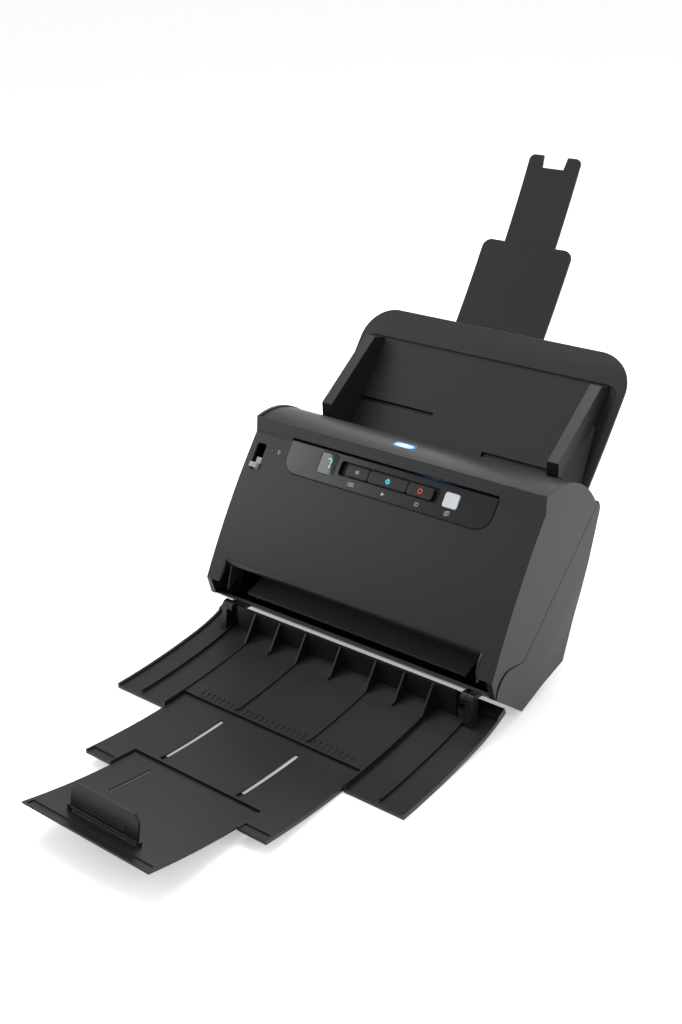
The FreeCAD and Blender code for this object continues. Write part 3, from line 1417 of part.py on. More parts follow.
def tray_strip(low, high, angle_from, rear):
    """A strip that follows the tray's long curve and then its tighter rear curve."""
    turn = cell("tray_turn")
    long_low, long_high = cell("tray_radius") - low, cell("tray_radius") - high
    rear_low, rear_high = cell("tray_rear_radius") - low, cell("tray_rear_radius") - high
    back = rear_centre()
    return [
        on_arc(tray_centre, long_low, angle_from), Bend(long_low, 1), on_arc(tray_centre, long_low, turn),
        Bend(rear_low, 1), on_arc(back, rear_low, rear), on_arc(back, rear_high, rear),
        Bend(rear_high, -1), on_arc(tray_centre, long_high, turn), Bend(long_high, -1),
        on_arc(tray_centre, long_high, angle_from),
    ]


def eject_tray():
    body = new_body("eject_tray")
    half, lobe, rear = cell("tray_half"), cell("tray_lobe_inner"), cell("tray_rear")
    front_edge, middle = cell("tray_front"), cell("tray_middle")
    deck, plate = cell("tray_deck"), cell("tray_deck_plate")
    top = deck + plate
    wall = cell("rib_width")
    clear = cell("clearance")
    pad(body, across, [tray_strip(deck, top, middle, rear)], (lobe + wall) * 2)
    back = rear_centre()
    block = band(back, cell("tray_rear_radius"), 0.0, top, rear - 4.0, rear)
    pad(body, across, [block], half * 2)
    lobe_width = half - lobe
    for hand in (1, -1):
        middle_x = (half + lobe) / 2 * hand
        pad(body, across, [tray_strip(size_of(0.0), cell("lobe_plate"), front_edge, rear)], lobe_width - clear / 2,
            lift=middle_x + clear / 4 * hand)
        pad(body, across, [tray_strip(size_of(0.0), top + cell("rib_height") / 2, front_edge, rear - 3.0)], wall,
            lift=(lobe + clear / 2 + wall / 2) * hand)
        # outer rim of the lobe, and the rib along its middle
        pad(body, across, [tray_strip(size_of(0.0), cell("lobe_plate") + 1.6, front_edge, rear)], 2.4,
            lift=(half - 1.2) * hand)
        pad(body, across, [tray_strip(size_of(1.0), cell("lobe_plate") + 2.4, front_edge + 0.4, rear - 2.0)], wall,
            lift=120.0 * hand)
    ribs = [(0.0, 7.2), (36.0, middle + 0.3), (64.0, 7.2)]
    for x, angle_from in ribs:
        for hand in ((1,) if x == 0.0 else (1, -1)):
            start = size_of(angle_from)
            if start.number > cell("tray_turn").number:
                strip = band(back, cell("tray_rear_radius"), top - 0.6, top + cell("rib_height"),
                             start, rear - 3.0)
            else:
                strip = tray_strip(top - 0.6, top + cell("rib_height") * 0.6, start, rear - 3.0)
            pad(body, across, [strip], wall, lift=size_of(x) * hand)
    # a low wall across the hinge end, with a triangular fin at each rib
    wall_back, wall_top = cell("tray_wall_y"), cell("tray_wall_top")
    wall_front = wall_back - cell("tray_wall")
    foot_angle, inside = cell("tray_wall_foot"), cell("tray_rear_radius") - deck - plate / 2
    deck_foot = on_arc(back, inside, foot_angle)[1]
    lobe_foot = on_arc(back, cell("tray_rear_radius") - cell("lobe_plate") / 2, foot_angle)[1]
    wall_half = cell("tray_wall_half")
    pad(body, across, [box_of(wall_front, wall_back, deck_foot, wall_top)], (lobe + wall) * 2)
    beside = wall_half - lobe - wall
    for hand in (1, -1):
        pad(body, across, [box_of(wall_front, wall_back, lobe_foot, wall_top)], beside + 0.2,
            lift=(wall_half - beside / 2 - 0.1) * hand)
    fin = [(wall_front + 0.5, wall_top - 0.6), (wall_front - 0.6, wall_top - 0.6),
           on_arc(back, cell("tray_rear_radius") - top - 0.4, cell("fin_start")),
           on_arc(back, inside, cell("fin_start")), (wall_front + 0.5, deck_foot)]
    pad(body, across, [fin], wall)
    for x in (size_of(36.0), size_of(64.0), lobe + clear / 2 + wall / 2):
        for hand in (1, -1):
            pad(body, across, [fin], wall, lift=x * hand)
    # hinge arms rise to the pins in the exit
    py, pz, r = cell("arm_pivot_y"), cell("arm_pivot_z"), cell("arm_round")
    foot = on_arc(back, cell("tray_rear_radius") - 1.0, 11.0)
    toe = on_arc(back, cell("tray_rear_radius") - 1.0, 16.5)
    arm = [(py - r, pz), foot, toe, (py + r, pz), Bend(r, 1, half=True)]
    for hand in (1, -1):
        width = cell("arm_width")
        pad(body, across, [arm], width, lift=(cell("arm_inner") + width / 2) * hand)
    cut(body, across, [(py, pz, cell("arm_pin") + cell("running"))], (cell("arm_inner") + 20.0) * 2)
    place(body)


def tray_extensions():
    """The two sliding plates of the eject tray, each on the same long curve."""
    one = new_body("tray_extension_one")
    deck, plate = cell("out_one_deck"), cell("out_one_plate")
    half, inner = cell("out_one_half"), cell("out_two_half") + 1.0
    rear, middle, tip = cell("out_one_rear"), cell("out_one_middle"), cell("out_one_front")
    radius = cell("tray_radius")
    pad(one, across, [band(tray_centre, radius, deck, deck + plate, middle, rear)], half * 2)
    finger = half - inner
    for hand in (1, -1):
        spot = (half + inner) / 2 * hand
        pad(one, across, [band(tray_centre, radius, cell("out_two_deck"), deck + plate, tip, middle + 0.3)],
            finger, lift=spot)
        rail = band(tray_centre, radius, cell("out_two_deck"), deck + 0.2, tip, rear)
        pad(one, across, [rail], 2.0, lift=(inner + 1.0) * hand)
        pad(one, across, [rail], 2.0, lift=(half - 1.0) * hand)
        cut(one, across, [band(tray_centre, radius, deck + plate - 1.1, deck + plate + 3.0, tip - 0.1, tip + 0.62)],
            finger - 4.0, lift=spot)
    slots = [box_of(size_of(x) - cell("out_slot_width") / 2, size_of(x) + cell("out_slot_width") / 2,
                    cell("out_slot_to"), cell("out_slot_from"))
             for x in (cell("out_slot_x") * -1.0, cell("out_slot_x"))]
    cut(one, plan, slots, 200.0)
    place(one)
    two = new_body("tray_extension_two")
    low, thick, wide = cell("out_two_deck"), cell("out_two_plate"), cell("out_two_half")
    start, end = cell("out_two_front"), cell("out_two_rear")
    pad(two, across, [band(tray_centre, radius, low, low + thick, start, end)], wide * 2)
    cut(two, across, [band(tray_centre, radius, low + thick - 0.9, low + thick + 3.0, start + 0.14, start + 0.7)],
        (wide - 3.0) * 2)
    # lugs and pins for the flap
    axle, hinge_angle = stop_axis(), cell("stop_at")
    barrel, lug, inset = cell("stop_barrel"), 2.2, 2.4
    for hand in (1, -1):
        ear = band(tray_centre, radius, low + thick - 0.2, stop_level() + barrel, hinge_angle - 0.13,
                   hinge_angle + 0.13)
        middle = cell("stop_half") + cell("clearance") + lug / 2
        pad(two, across, [ear], lug, lift=middle * hand)
        pad(two, across, [(*axle, cell("stop_pin"))], lug + inset, lift=(middle - inset / 2) * hand)
    groove = box_of(-36.2, -34.2, -325.0, -285.0)
    cut(two, plan, [groove], 200.0)
    place(two)


def stop_level():
    return cell("out_two_deck") + cell("out_two_plate") + cell("stop_lift") + cell("stop_barrel")


def stop_axis():
    return on_arc(tray_centre, cell("tray_radius") - stop_level(), cell("stop_at"))


def tray_stop():
    """The flap at the end of the second extension; it stands square to the plate."""
    body = new_body("tray_stop")
    half, tall, corner = cell("stop_half"), cell("stop_height"), cell("stop_chamfer")
    shape = [(-half, 0.0), (half, 0.0), (half, tall - corner), (half - corner, tall), (-half + corner, tall),
             (-half, tall - corner)]
    pad(body, front, [shape], cell("stop_thick"))
    grips = [centred(half * 1.3, 0.8, 0.0, y) for y in (4.0, 6.2, 8.4, 10.6)]
    pad(body, front, grips, cell("stop_thick") + 0.8)
    pad(body, across, [(size_of(0.0), size_of(0.0), cell("stop_barrel"))], half * 2)
    hole = (size_of(0.0), size_of(0.0), cell("stop_pin") + cell("running"))
    for hand in (1, -1):
        cut(body, across, [hole], 5.6, lift=half * hand)
    spot = stop_axis()
    place(body, spot[0], spot[1], cell("stop_at"))


# ---------------------------------------------------------------- build
front_cover()
top_cover()
control_panel()
keys()
key_bed()
display_window()
power_key()
feed_lever()
upper_chassis()
pivot_arms()
upper_guide()
lower_guide()
image_sensors()
rollers()
idlers()
motor_and_belt()
side_panels()
rear_cover()
sockets()
base_pan()
side_frames()
tray_brackets()
feed_tray()
feed_housing()
feed_extension()
document_guides()
guide_pinion()
eject_tray()
tray_extensions()
tray_stop()
doc.recompute()

# ---------------------------------------------------------------- checks and files
for thing in doc.Objects:
    if "Invalid" in thing.State or "Error" in thing.State:
        raise RuntimeError(f"{thing.Label}: {thing.State}")
for feature in cuts:
    before = feature.BaseFeature.Shape.Volume
    if not feature.Shape.Volume < before - 0.01:
        raise RuntimeError(f"{feature.Label}: this cut takes nothing away")

nodes = [o for o in doc.Objects if o.TypeId == "PartDesign::Body" or o.Label == "drive_belt"]
os.makedirs("parts", exist_ok=True)
for node in nodes:
    shape = node.Shape
    if shape.isNull() or not shape.isValid() or not shape.Solids:
        raise RuntimeError(f"{node.Label}: no valid solid")
    shape.exportStep(f"parts/{node.Label}.step")
print(len(nodes), "nodes written")
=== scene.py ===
import bpy
import json
import math
from mathutils import Matrix, Vector


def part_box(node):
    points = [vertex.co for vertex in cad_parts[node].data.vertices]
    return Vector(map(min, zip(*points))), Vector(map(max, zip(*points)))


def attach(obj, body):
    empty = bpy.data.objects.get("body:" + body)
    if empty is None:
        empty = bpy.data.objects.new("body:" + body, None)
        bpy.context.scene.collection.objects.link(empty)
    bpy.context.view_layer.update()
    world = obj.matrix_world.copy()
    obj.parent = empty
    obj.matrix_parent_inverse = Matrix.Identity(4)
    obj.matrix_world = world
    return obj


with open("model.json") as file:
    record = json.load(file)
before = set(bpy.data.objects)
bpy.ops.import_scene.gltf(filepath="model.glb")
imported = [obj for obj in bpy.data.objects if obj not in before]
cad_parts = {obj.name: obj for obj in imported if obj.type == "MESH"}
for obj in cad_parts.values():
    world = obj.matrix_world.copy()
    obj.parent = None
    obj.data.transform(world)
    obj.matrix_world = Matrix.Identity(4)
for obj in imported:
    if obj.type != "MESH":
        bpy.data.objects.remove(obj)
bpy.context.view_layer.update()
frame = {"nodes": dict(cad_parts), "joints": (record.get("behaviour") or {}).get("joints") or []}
print("stage: frame loaded")

# the machine's own axes: the hinge of the opening unit fixes where they sit on the desk
jointNamed = {joint["name"]: joint for joint in frame["joints"]}
hingeSpot = Vector(jointNamed["front_unit_hinge"]["pos_m"])
hingeInMachine = Vector((0.0, -0.078, 0.031))
machineOrigin = hingeSpot - hingeInMachine


def spot(x, y, z):
    # a point in machine millimetres, as a point on the desk in metres
    return Vector((x, y, z)) / 1000 + machineOrigin


# ---- camera, floor and light

# place in machine millimetres, angles in degrees, lens and sensor in millimetres
cameraSet = {"at": (592.1, -823.1, 619.6), "azimuth": 39.036, "elevation": 26.629, "roll": -2.3095,
             "lens": 47.81, "sensor": 36}


def addCamera():
    turn, rise = math.radians(cameraSet["azimuth"]), math.radians(cameraSet["elevation"])
    back = Vector((math.sin(turn) * math.cos(rise), -math.cos(turn) * math.cos(rise), math.sin(rise)))
    right = Vector((math.cos(turn), math.sin(turn), 0))
    up = back.cross(right)
    roll = math.radians(cameraSet["roll"])
    side = right * math.cos(roll) + up * math.sin(roll)
    top = up * math.cos(roll) - right * math.sin(roll)
    data = bpy.data.cameras.new("viewCamera")
    data.sensor_width = cameraSet["sensor"]
    data.lens = cameraSet["lens"]
    camera = bpy.data.objects.new("viewCamera", data)
    bpy.context.scene.collection.objects.link(camera)
    matrix = Matrix((side, top, back)).transposed().to_4x4()
    matrix.translation = spot(*cameraSet["at"])
    camera.matrix_world = matrix
    bpy.context.scene.camera = camera


# each softbox: place, aim and size in metres, power in watts
softboxes = {
    "overheadSoftbox": {"at": (-0.3, 0.25, 1.5), "aim": (0, 0, 0.1), "size": (1.2, 0.9), "power": 15},
    "leftSoftbox": {"at": (-1.5, -0.9, 0.9), "aim": (0, -0.1, 0.12), "size": (0.8, 1.0), "power": 9},
    "rightSoftbox": {"at": (1.6, 0.5, 1.0), "aim": (0.1, 0, 0.1), "size": (0.5, 0.9), "power": 7},
    "backSoftbox": {"at": (-0.3, 1.5, 1.0), "aim": (0, 0, 0.2), "size": (1.6, 0.6), "power": 10},
}
skyStrength = 0.62


def addLight():
    for name, box in softboxes.items():
        data = bpy.data.lights.new(name, "AREA")
        data.shape = "RECTANGLE"
        data.size, data.size_y = box["size"]
        data.energy = box["power"]
        lamp = bpy.data.objects.new(name, data)
        lamp.location = box["at"]
        aim = Vector(box["aim"]) - lamp.location
        lamp.rotation_euler = aim.to_track_quat("-Z", "Y").to_euler()
        bpy.context.scene.collection.objects.link(lamp)
    world = bpy.data.worlds.new("paleStudio")
    world.use_nodes = True
    sky = world.node_tree.nodes["Background"]
    sky.inputs["Color"].default_value = (1, 1, 1, 1)
    sky.inputs["Strength"].default_value = skyStrength
    bpy.context.scene.world = world
    # plain contrast, so that black plastic stays black
    bpy.context.scene.view_settings.view_transform = "Standard"


# ---- materials

def linear(hexColour):
    # sRGB hex to the linear colour the shader wants
    out = []
    for i in (1, 3, 5):
        c = int(hexColour[i:i + 2], 16) / 255
        out.append(c / 12.92 if c <= 0.04045 else ((c + 0.055) / 1.055) ** 2.4)
    return (*out, 1)


def addNode(tree, kind, settings=None, sockets=None, links=None):
    node = tree.nodes.new(kind)
    for name, value in (settings or {}).items():
        setattr(node, name, value)
    for name, value in (sockets or {}).items():
        node.inputs[name].default_value = value
    for name, source in (links or {}).items():
        tree.links.new(source, node.inputs[name])
    return node


def perMetre(millimetres):
    return 1000 / millimetres


def startMaterial(name, shader):
    material = bpy.data.materials.new(name)
    material.use_nodes = True
    tree = material.node_tree
    tree.nodes.clear()
    out = addNode(tree, "ShaderNodeOutputMaterial")
    body = addNode(tree, "ShaderNodeBsdfPrincipled", sockets=shader)
    tree.links.new(body.outputs["BSDF"], out.inputs["Surface"])
    coordinates = addNode(tree, "ShaderNodeTexCoord")
    return material, tree, body, coordinates.outputs["Object"]


def moulded(name, finish):
    # an injection moulded plastic: spark-eroded grain, faint flow marks in tone, slightly uneven sheen
    shader = {"Specular IOR Level": finish.get("specular", 0.32), "IOR": 1.5}
    for key, socket in (("coat", "Coat Weight"), ("coatRoughness", "Coat Roughness")):
        if key in finish:
            shader[socket] = finish[key]
    material, tree, body, place = startMaterial(name, shader)
    flow = addNode(tree, "ShaderNodeTexNoise", sockets={"Scale": perMetre(finish["flowMm"]), "Detail": 2.0},
                   links={"Vector": place})
    tone = addNode(tree, "ShaderNodeMix", settings={"data_type": "RGBA"}, links={0: flow.outputs["Fac"]},
                   sockets={6: linear(finish["dark"]), 7: linear(finish["light"])})
    tree.links.new(tone.outputs[2], body.inputs["Base Color"])
    grain = addNode(tree, "ShaderNodeTexNoise", sockets={"Scale": perMetre(finish["grainMm"]), "Detail": 3.0,
                                                         "Roughness": 0.65}, links={"Vector": place})
    smooth, rough = finish["sheen"]
    sheen = addNode(tree, "ShaderNodeMapRange", sockets={"To Min": smooth, "To Max": rough},
                    links={"Value": grain.outputs["Fac"]})
    tree.links.new(sheen.outputs["Result"], body.inputs["Roughness"])
    edge = addNode(tree, "ShaderNodeBevel", settings={"samples": 4},
                   sockets={"Radius": finish["edgeMm"] / 1000})
    bump = addNode(tree, "ShaderNodeBump", sockets={"Strength": finish["bump"], "Distance": 0.0002},
                   links={"Height": grain.outputs["Fac"], "Normal": edge.outputs["Normal"]})
    tree.links.new(bump.outputs["Normal"], body.inputs["Normal"])
    return material


def metal(name, finish):
    # zinc plated sheet and ground shafts: bright, with fine lines along the way it was rolled or turned
    material, tree, body, place = startMaterial(name, {"Metallic": 1.0})
    stretch = addNode(tree, "ShaderNodeMapping", sockets={"Scale": finish["stretch"]},
                      links={"Vector": place})
    lines = addNode(tree, "ShaderNodeTexNoise", sockets={"Scale": perMetre(finish["lineMm"]), "Detail": 3.0},
                    links={"Vector": stretch.outputs["Vector"]})
    tone = addNode(tree, "ShaderNodeMix", settings={"data_type": "RGBA"}, links={0: lines.outputs["Fac"]},
                   sockets={6: linear(finish["dark"]), 7: linear(finish["light"])})
    tree.links.new(tone.outputs[2], body.inputs["Base Color"])
    smooth, rough = finish["sheen"]
    sheen = addNode(tree, "ShaderNodeMapRange", sockets={"To Min": smooth, "To Max": rough},
                    links={"Value": lines.outputs["Fac"]})
    tree.links.new(sheen.outputs["Result"], body.inputs["Roughness"])
    bump = addNode(tree, "ShaderNodeBump", sockets={"Strength": 0.15, "Distance": 0.0001},
                   links={"Height": lines.outputs["Fac"]})
    tree.links.new(bump.outputs["Normal"], body.inputs["Normal"])
    return material


speckleMm = 1.2
speckleShare = 0.15


def glowing(name, finish):
    # clear or frosted plastic with a lamp behind it: brightest in the middle of the lens; the key inks get
    # the same glow as painted light, with no lamp behind them
    shader = {"Roughness": finish["roughness"], "IOR": 1.49, "Emission Strength": finish["glow"]}
    material, tree, body, place = startMaterial(name, shader)
    middle = addNode(tree, "ShaderNodeMapping", settings={"vector_type": "TEXTURE"},
                     sockets={"Location": finish["middle"], "Scale": finish["spread"]},
                     links={"Vector": place})
    pool = addNode(tree, "ShaderNodeTexGradient", settings={"gradient_type": "SPHERICAL"},
                   links={"Vector": middle.outputs["Vector"]})
    speckle = addNode(tree, "ShaderNodeTexNoise", sockets={"Scale": perMetre(speckleMm)},
                      links={"Vector": place})
    fall = addNode(tree, "ShaderNodeMath", settings={"operation": "MULTIPLY_ADD"}, sockets={1: speckleShare},
                   links={0: speckle.outputs["Fac"], 2: pool.outputs["Fac"]})
    tone = addNode(tree, "ShaderNodeMix", settings={"data_type": "RGBA"}, links={0: fall.outputs["Value"]},
                   sockets={6: linear(finish["dark"]), 7: linear(finish["light"])})
    tree.links.new(tone.outputs[2], body.inputs["Base Color"])
    tree.links.new(tone.outputs[2], body.inputs["Emission Color"])
    return material


# tones from dark to light; flow marks and grain by their size in millimetres; sheen as the range of roughness
plasticFinishes = {
    # ABS covers, fine spark-eroded grain: near black with a soft, broad sheen
    "grainedAbsCover": {"dark": "#151618", "light": "#1b1c1f", "flowMm": 70, "grainMm": 0.7,
                        "sheen": (0.36, 0.5), "bump": 0.22, "edgeMm": 0.9},
    # ABS front face, finer grain than the sides
    "grainedAbsFront": {"dark": "#18191b", "light": "#1e1f22", "flowMm": 90, "grainMm": 0.6,
                        "sheen": (0.34, 0.46), "bump": 0.18, "edgeMm": 1.1},
    # ABS trays, satin from a polished tool: darker, with a tighter sheen
    "satinAbsTray": {"dark": "#101111", "light": "#161716", "flowMm": 45, "grainMm": 0.9,
                     "sheen": (0.3, 0.42), "bump": 0.15, "edgeMm": 0.5},
    # polished acrylic over black: deep, glassy highlights
    "polishedPanelAcrylic": {"dark": "#0e0f10", "light": "#131416", "flowMm": 60, "grainMm": 3.0,
                             "sheen": (0.2, 0.28), "bump": 0.03, "edgeMm": 0.5, "coat": 0.15,
                             "coatRoughness": 0.15},
    # ABS keys, a touch lighter than the panel they stand in
    "satinKeyAbs": {"dark": "#151517", "light": "#1b1b1e", "flowMm": 15, "grainMm": 0.6,
                    "sheen": (0.28, 0.38), "bump": 0.1, "edgeMm": 0.4},
    # frosted polycarbonate: milky, with a soft highlight
    "frostedKeyPolycarbonate": {"dark": "#b4b8bc", "light": "#ccd0d3", "flowMm": 6, "grainMm": 0.5,
                                "sheen": (0.3, 0.42), "bump": 0.1, "edgeMm": 0.5},
    # silver paint on ABS: pale, with a fine speckle
    "silverPaintedAbs": {"dark": "#8f9193", "light": "#a8aaac", "flowMm": 8, "grainMm": 0.4,
                         "sheen": (0.25, 0.34), "bump": 0.08, "edgeMm": 0.4},
    # inner ABS mouldings: plain dark grey and less polished
    "greyAbsInside": {"dark": "#26282a", "light": "#2f3133", "flowMm": 50, "grainMm": 0.9,
                      "sheen": (0.4, 0.52), "bump": 0.2, "edgeMm": 0.3},
    # uncoloured acetal: waxy off-white gears
    "naturalAcetal": {"dark": "#d8d6cf", "light": "#e6e4dc", "flowMm": 12, "grainMm": 0.8,
                      "sheen": (0.3, 0.42), "bump": 0.08, "edgeMm": 0.2},
    # circuit boards: glossy green over the copper
    "greenSolderMask": {"dark": "#0b3a20", "light": "#12502d", "flowMm": 9, "grainMm": 1.2,
                        "sheen": (0.22, 0.34), "bump": 0.12, "edgeMm": 0.1},
    # rubber tyres ground to size: dead matt with a coarse tooth
    "groundRollerRubber": {"dark": "#2b2b2e", "light": "#36363a", "flowMm": 10, "grainMm": 0.5,
                           "sheen": (0.66, 0.85), "bump": 0.6, "edgeMm": 0.5, "specular": 0.35},
    # moulded rubber feet and the rubber belt: black and matt
    "mouldedFootRubber": {"dark": "#131313", "light": "#1b1b1b", "flowMm": 8, "grainMm": 0.7,
                          "sheen": (0.6, 0.8), "bump": 0.4, "edgeMm": 0.4, "specular": 0.35},
    "neopreneBelt": {"dark": "#111112", "light": "#19191a", "flowMm": 6, "grainMm": 0.8,
                     "sheen": (0.55, 0.75), "bump": 0.5, "edgeMm": 0.2, "specular": 0.35},
    # pad printed ink: flat and slightly chalky
    "paleGreyInk": {"dark": "#9a9da0", "light": "#b0b3b5", "flowMm": 3, "grainMm": 0.3,
                    "sheen": (0.45, 0.6), "bump": 0.1, "edgeMm": 0.05},
    # painted shade: the key bed behind the keys and the ring round the pilot lens are near black to stand in
    # for the shade in deep recesses
    "paintedRecessShadeAbs": {"dark": "#060606", "light": "#0a0a0b", "flowMm": 5, "grainMm": 0.5,
                      "sheen": (0.4, 0.6), "bump": 0.1, "edgeMm": 0.1},
    # tinted window and scanning glass read as dark, glassy strips
    "smokedWindow": {"dark": "#0a100c", "light": "#0f1712", "flowMm": 10, "grainMm": 4.0,
                     "sheen": (0.06, 0.1), "bump": 0.01, "edgeMm": 0.3, "coat": 0.6, "coatRoughness": 0.04},
    "scanningGlass": {"dark": "#1a2426", "light": "#243234", "flowMm": 40, "grainMm": 5.0,
                      "sheen": (0.04, 0.08), "bump": 0.01, "edgeMm": 0.1, "coat": 0.8, "coatRoughness": 0.03},
}
# line spacing in millimetres, and how the lines are drawn out along X, Y and Z
metalFinishes = {
    "zincPlatedSheet": {"dark": "#8d9093", "light": "#b4b6b8", "lineMm": 0.8, "stretch": (0.05, 1, 1),
                        "sheen": (0.3, 0.45)},
    "groundSteelShaft": {"dark": "#a2a4a6", "light": "#c4c6c8", "lineMm": 0.5, "stretch": (1, 0.2, 0.2),
                         "sheen": (0.18, 0.3)},
}
powerMiddle = sum(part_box("power_key"), Vector()) / 2
windowMiddle = sum(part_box("display_window"), Vector()) / 2
# a lamp behind the power lens and one behind the display; the teal and red key inks glow as painted light
# with no lamp behind them: glow is the strength, spread the size of the bright pool in metres
glowFinishes = {
    "litBlueLens": {"dark": "#1769c8", "light": "#8fd0ff", "glow": 2.2, "roughness": 0.22,
                    "middle": powerMiddle, "spread": (0.009, 0.006, 0.01)},
    "tealKeyInkPaintedGlow": {"dark": "#1c9aa6", "light": "#35c3cc", "glow": 0.5, "roughness": 0.4,
                   "middle": windowMiddle, "spread": (0.1, 0.1, 0.1)},
    "redKeyInkPaintedGlow": {"dark": "#c02a1a", "light": "#e0432c", "glow": 0.45, "roughness": 0.4,
                  "middle": windowMiddle, "spread": (0.1, 0.1, 0.1)},
    "greenSegmentLight": {"dark": "#3f9a55", "light": "#79d489", "glow": 0.6, "roughness": 0.4,
                          "middle": windowMiddle, "spread": (0.1, 0.1, 0.1)},
}
materials = {name: moulded(name, finish) for name, finish in plasticFinishes.items()}
materials.update({name: metal(name, finish) for name, finish in metalFinishes.items()})
materials.update({name: glowing(name, finish) for name, finish in glowFinishes.items()})

nodeFinishes = {
    "grainedAbsFront": ["front_cover", "top_cover"],
    "grainedAbsCover": ["side_panel_left", "side_panel_right", "rear_cover", "base_pan", "feed_tray",
                        "feed_housing", "guide_left", "guide_right"],
    "satinAbsTray": ["eject_tray", "tray_extension_one", "tray_extension_two", "tray_stop", "feed_stage_one",
                     "feed_stage_two", "tray_brackets"],
    "polishedPanelAcrylic": ["control_panel", "power_bezel"],
    "satinKeyAbs": ["job_key", "start_key", "stop_key"],
    # the key bed is painted near black as the shade of the recess behind the keys
    "paintedRecessShadeAbs": ["key_bed"],
    "frostedKeyPolycarbonate": ["filter_key"],
    "litBlueLens": ["power_key"],
    "smokedWindow": ["display_window"],
    "silverPaintedAbs": ["feed_lever"],
    "groundRollerRubber": ["feed_tyres", "drive_tyres", "eject_tyres", "separation_roller", "drive_idlers",
                           "eject_idlers"],
    "mouldedFootRubber": ["feet"],
    "neopreneBelt": ["drive_belt"],
    "zincPlatedSheet": ["side_frame_left", "side_frame_right", "pivot_arm_left", "pivot_arm_right",
                        "upper_chassis", "cover_screws", "motor"],
    "groundSteelShaft": ["feed_shaft", "drive_shaft", "eject_shaft"],
    "greyAbsInside": ["upper_guide", "lower_guide", "upper_sensor", "lower_sensor", "data_socket",
                      "power_socket"],
    "scanningGlass": ["upper_glass", "lower_glass"],
    "naturalAcetal": ["guide_pinion", "motor_pulley"],
    "greenSolderMask": ["control_board", "main_board"],
}


# moulded facets less than facetAngle apart are shaded as one surface
shading = {"weldMm": 0.005, "facetAngle": 28, "pieceAngle": 35}


def finishNodes():
    for name, nodes in nodeFinishes.items():
        for node in nodes:
            piece = frame["nodes"][node]
            if not piece.material_slots:
                piece.data.materials.append(materials[name])
            for materialSlot in piece.material_slots:
                materialSlot.material = materials[name]
            piece.data.polygons.foreach_set("use_smooth", [True] * len(piece.data.polygons))
            weld = piece.modifiers.new("joinedFaces", "WELD")
            weld.merge_threshold = shading["weldMm"] / 1000
            split = piece.modifiers.new("crispEdges", "EDGE_SPLIT")
            split.split_angle = math.radians(shading["facetAngle"])


# ---- places on the machine

# the front face is an arc that starts at the fold under the top cover: millimetres and degrees
face = {"foldY": -27.3, "foldZ": 159.0, "slope": 50.2, "radius": 660.0}


def faceFrame(down, x):
    # axes on the front face: X across, Y up the face, Z out of it, with the origin down mm below the fold
    first = math.radians(face["slope"])
    angle = first + down / face["radius"]
    centreY = face["foldY"] + face["radius"] * math.sin(first)
    centreZ = face["foldZ"] - face["radius"] * math.cos(first)
    place = Matrix.Rotation(angle, 4, "X")
    place.translation = spot(x, centreY - face["radius"] * math.sin(angle),
                             centreZ + face["radius"] * math.cos(angle))
    return place


# the eject tray lies on a long arc, lowest at lowY
tray = {"lowY": -190.0, "lowZ": -3.0, "radius": 668.0}


def trayFrame(angle, x, height):
    # axes on the tray's arc: Y towards the machine, Z up out of the tray
    a = math.radians(angle)
    reach = tray["radius"] - height
    centreZ = tray["radius"] + tray["lowZ"]
    place = Matrix.Rotation(a, 4, "X")
    place.translation = spot(x, tray["lowY"] + reach * math.sin(a), centreZ - reach * math.cos(a))
    return place


# ---- modelling by hand

def clearSelection():
    if bpy.context.object and bpy.context.object.mode != "OBJECT":
        bpy.ops.object.mode_set(mode="OBJECT")
    bpy.ops.object.select_all(action="DESELECT")


def seat(piece, name, place, material, body):
    # stands the finished piece in its place, with the place in its mesh
    clearSelection()
    piece.name = name
    piece.data.name = name
    piece.data.transform(place @ piece.matrix_basis)
    piece.matrix_basis = Matrix()
    piece.data.materials.clear()
    piece.data.materials.append(materials[material])
    piece.select_set(True)
    bpy.context.view_layer.objects.active = piece
    bpy.ops.object.shade_smooth_by_angle(angle=math.radians(shading["pieceAngle"]))
    clearSelection()
    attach(piece, body)


def block(size, edge, taper=(1.0, 1.0)):
    # a bevelled block in millimetres, its top drawn in by taper
    clearSelection()
    bpy.ops.mesh.primitive_cube_add(size=1)
    piece = bpy.context.object
    piece.scale = Vector(size) / 1000
    bpy.ops.object.transform_apply(scale=True)
    bpy.ops.object.mode_set(mode="EDIT")
    bpy.ops.mesh.select_all(action="DESELECT")
    bpy.ops.mesh.select_mode(type="FACE")
    bpy.ops.object.mode_set(mode="OBJECT")
    for polygon in piece.data.polygons:
        polygon.select = polygon.normal.z > 0.9
    bpy.ops.object.mode_set(mode="EDIT")
    bpy.ops.transform.resize(value=(*taper, 1))
    bpy.ops.mesh.select_all(action="SELECT")
    bpy.ops.mesh.bevel(offset=edge / 1000, segments=2, affect="EDGES")
    bpy.ops.object.mode_set(mode="OBJECT")
    return piece


def polygonPlate(corners, thickness, edge, lift):
    # a flat plate with the outline given in millimetres, raised and bevelled
    clearSelection()
    bpy.ops.mesh.primitive_circle_add(vertices=len(corners), radius=0.01, fill_type="NGON")
    piece = bpy.context.object
    for vertex, (x, y) in zip(piece.data.vertices, corners):
        vertex.co = Vector((x, y, lift)) / 1000
    bpy.ops.object.mode_set(mode="EDIT")
    bpy.ops.mesh.select_all(action="SELECT")
    bpy.ops.mesh.extrude_region_move(TRANSFORM_OT_translate={"value": (0, 0, thickness / 1000)})
    bpy.ops.mesh.select_all(action="SELECT")
    bpy.ops.mesh.normals_make_consistent(inside=False)
    bpy.ops.mesh.bevel(offset=edge / 1000, segments=2, affect="EDGES")
    bpy.ops.object.mode_set(mode="OBJECT")
    return piece


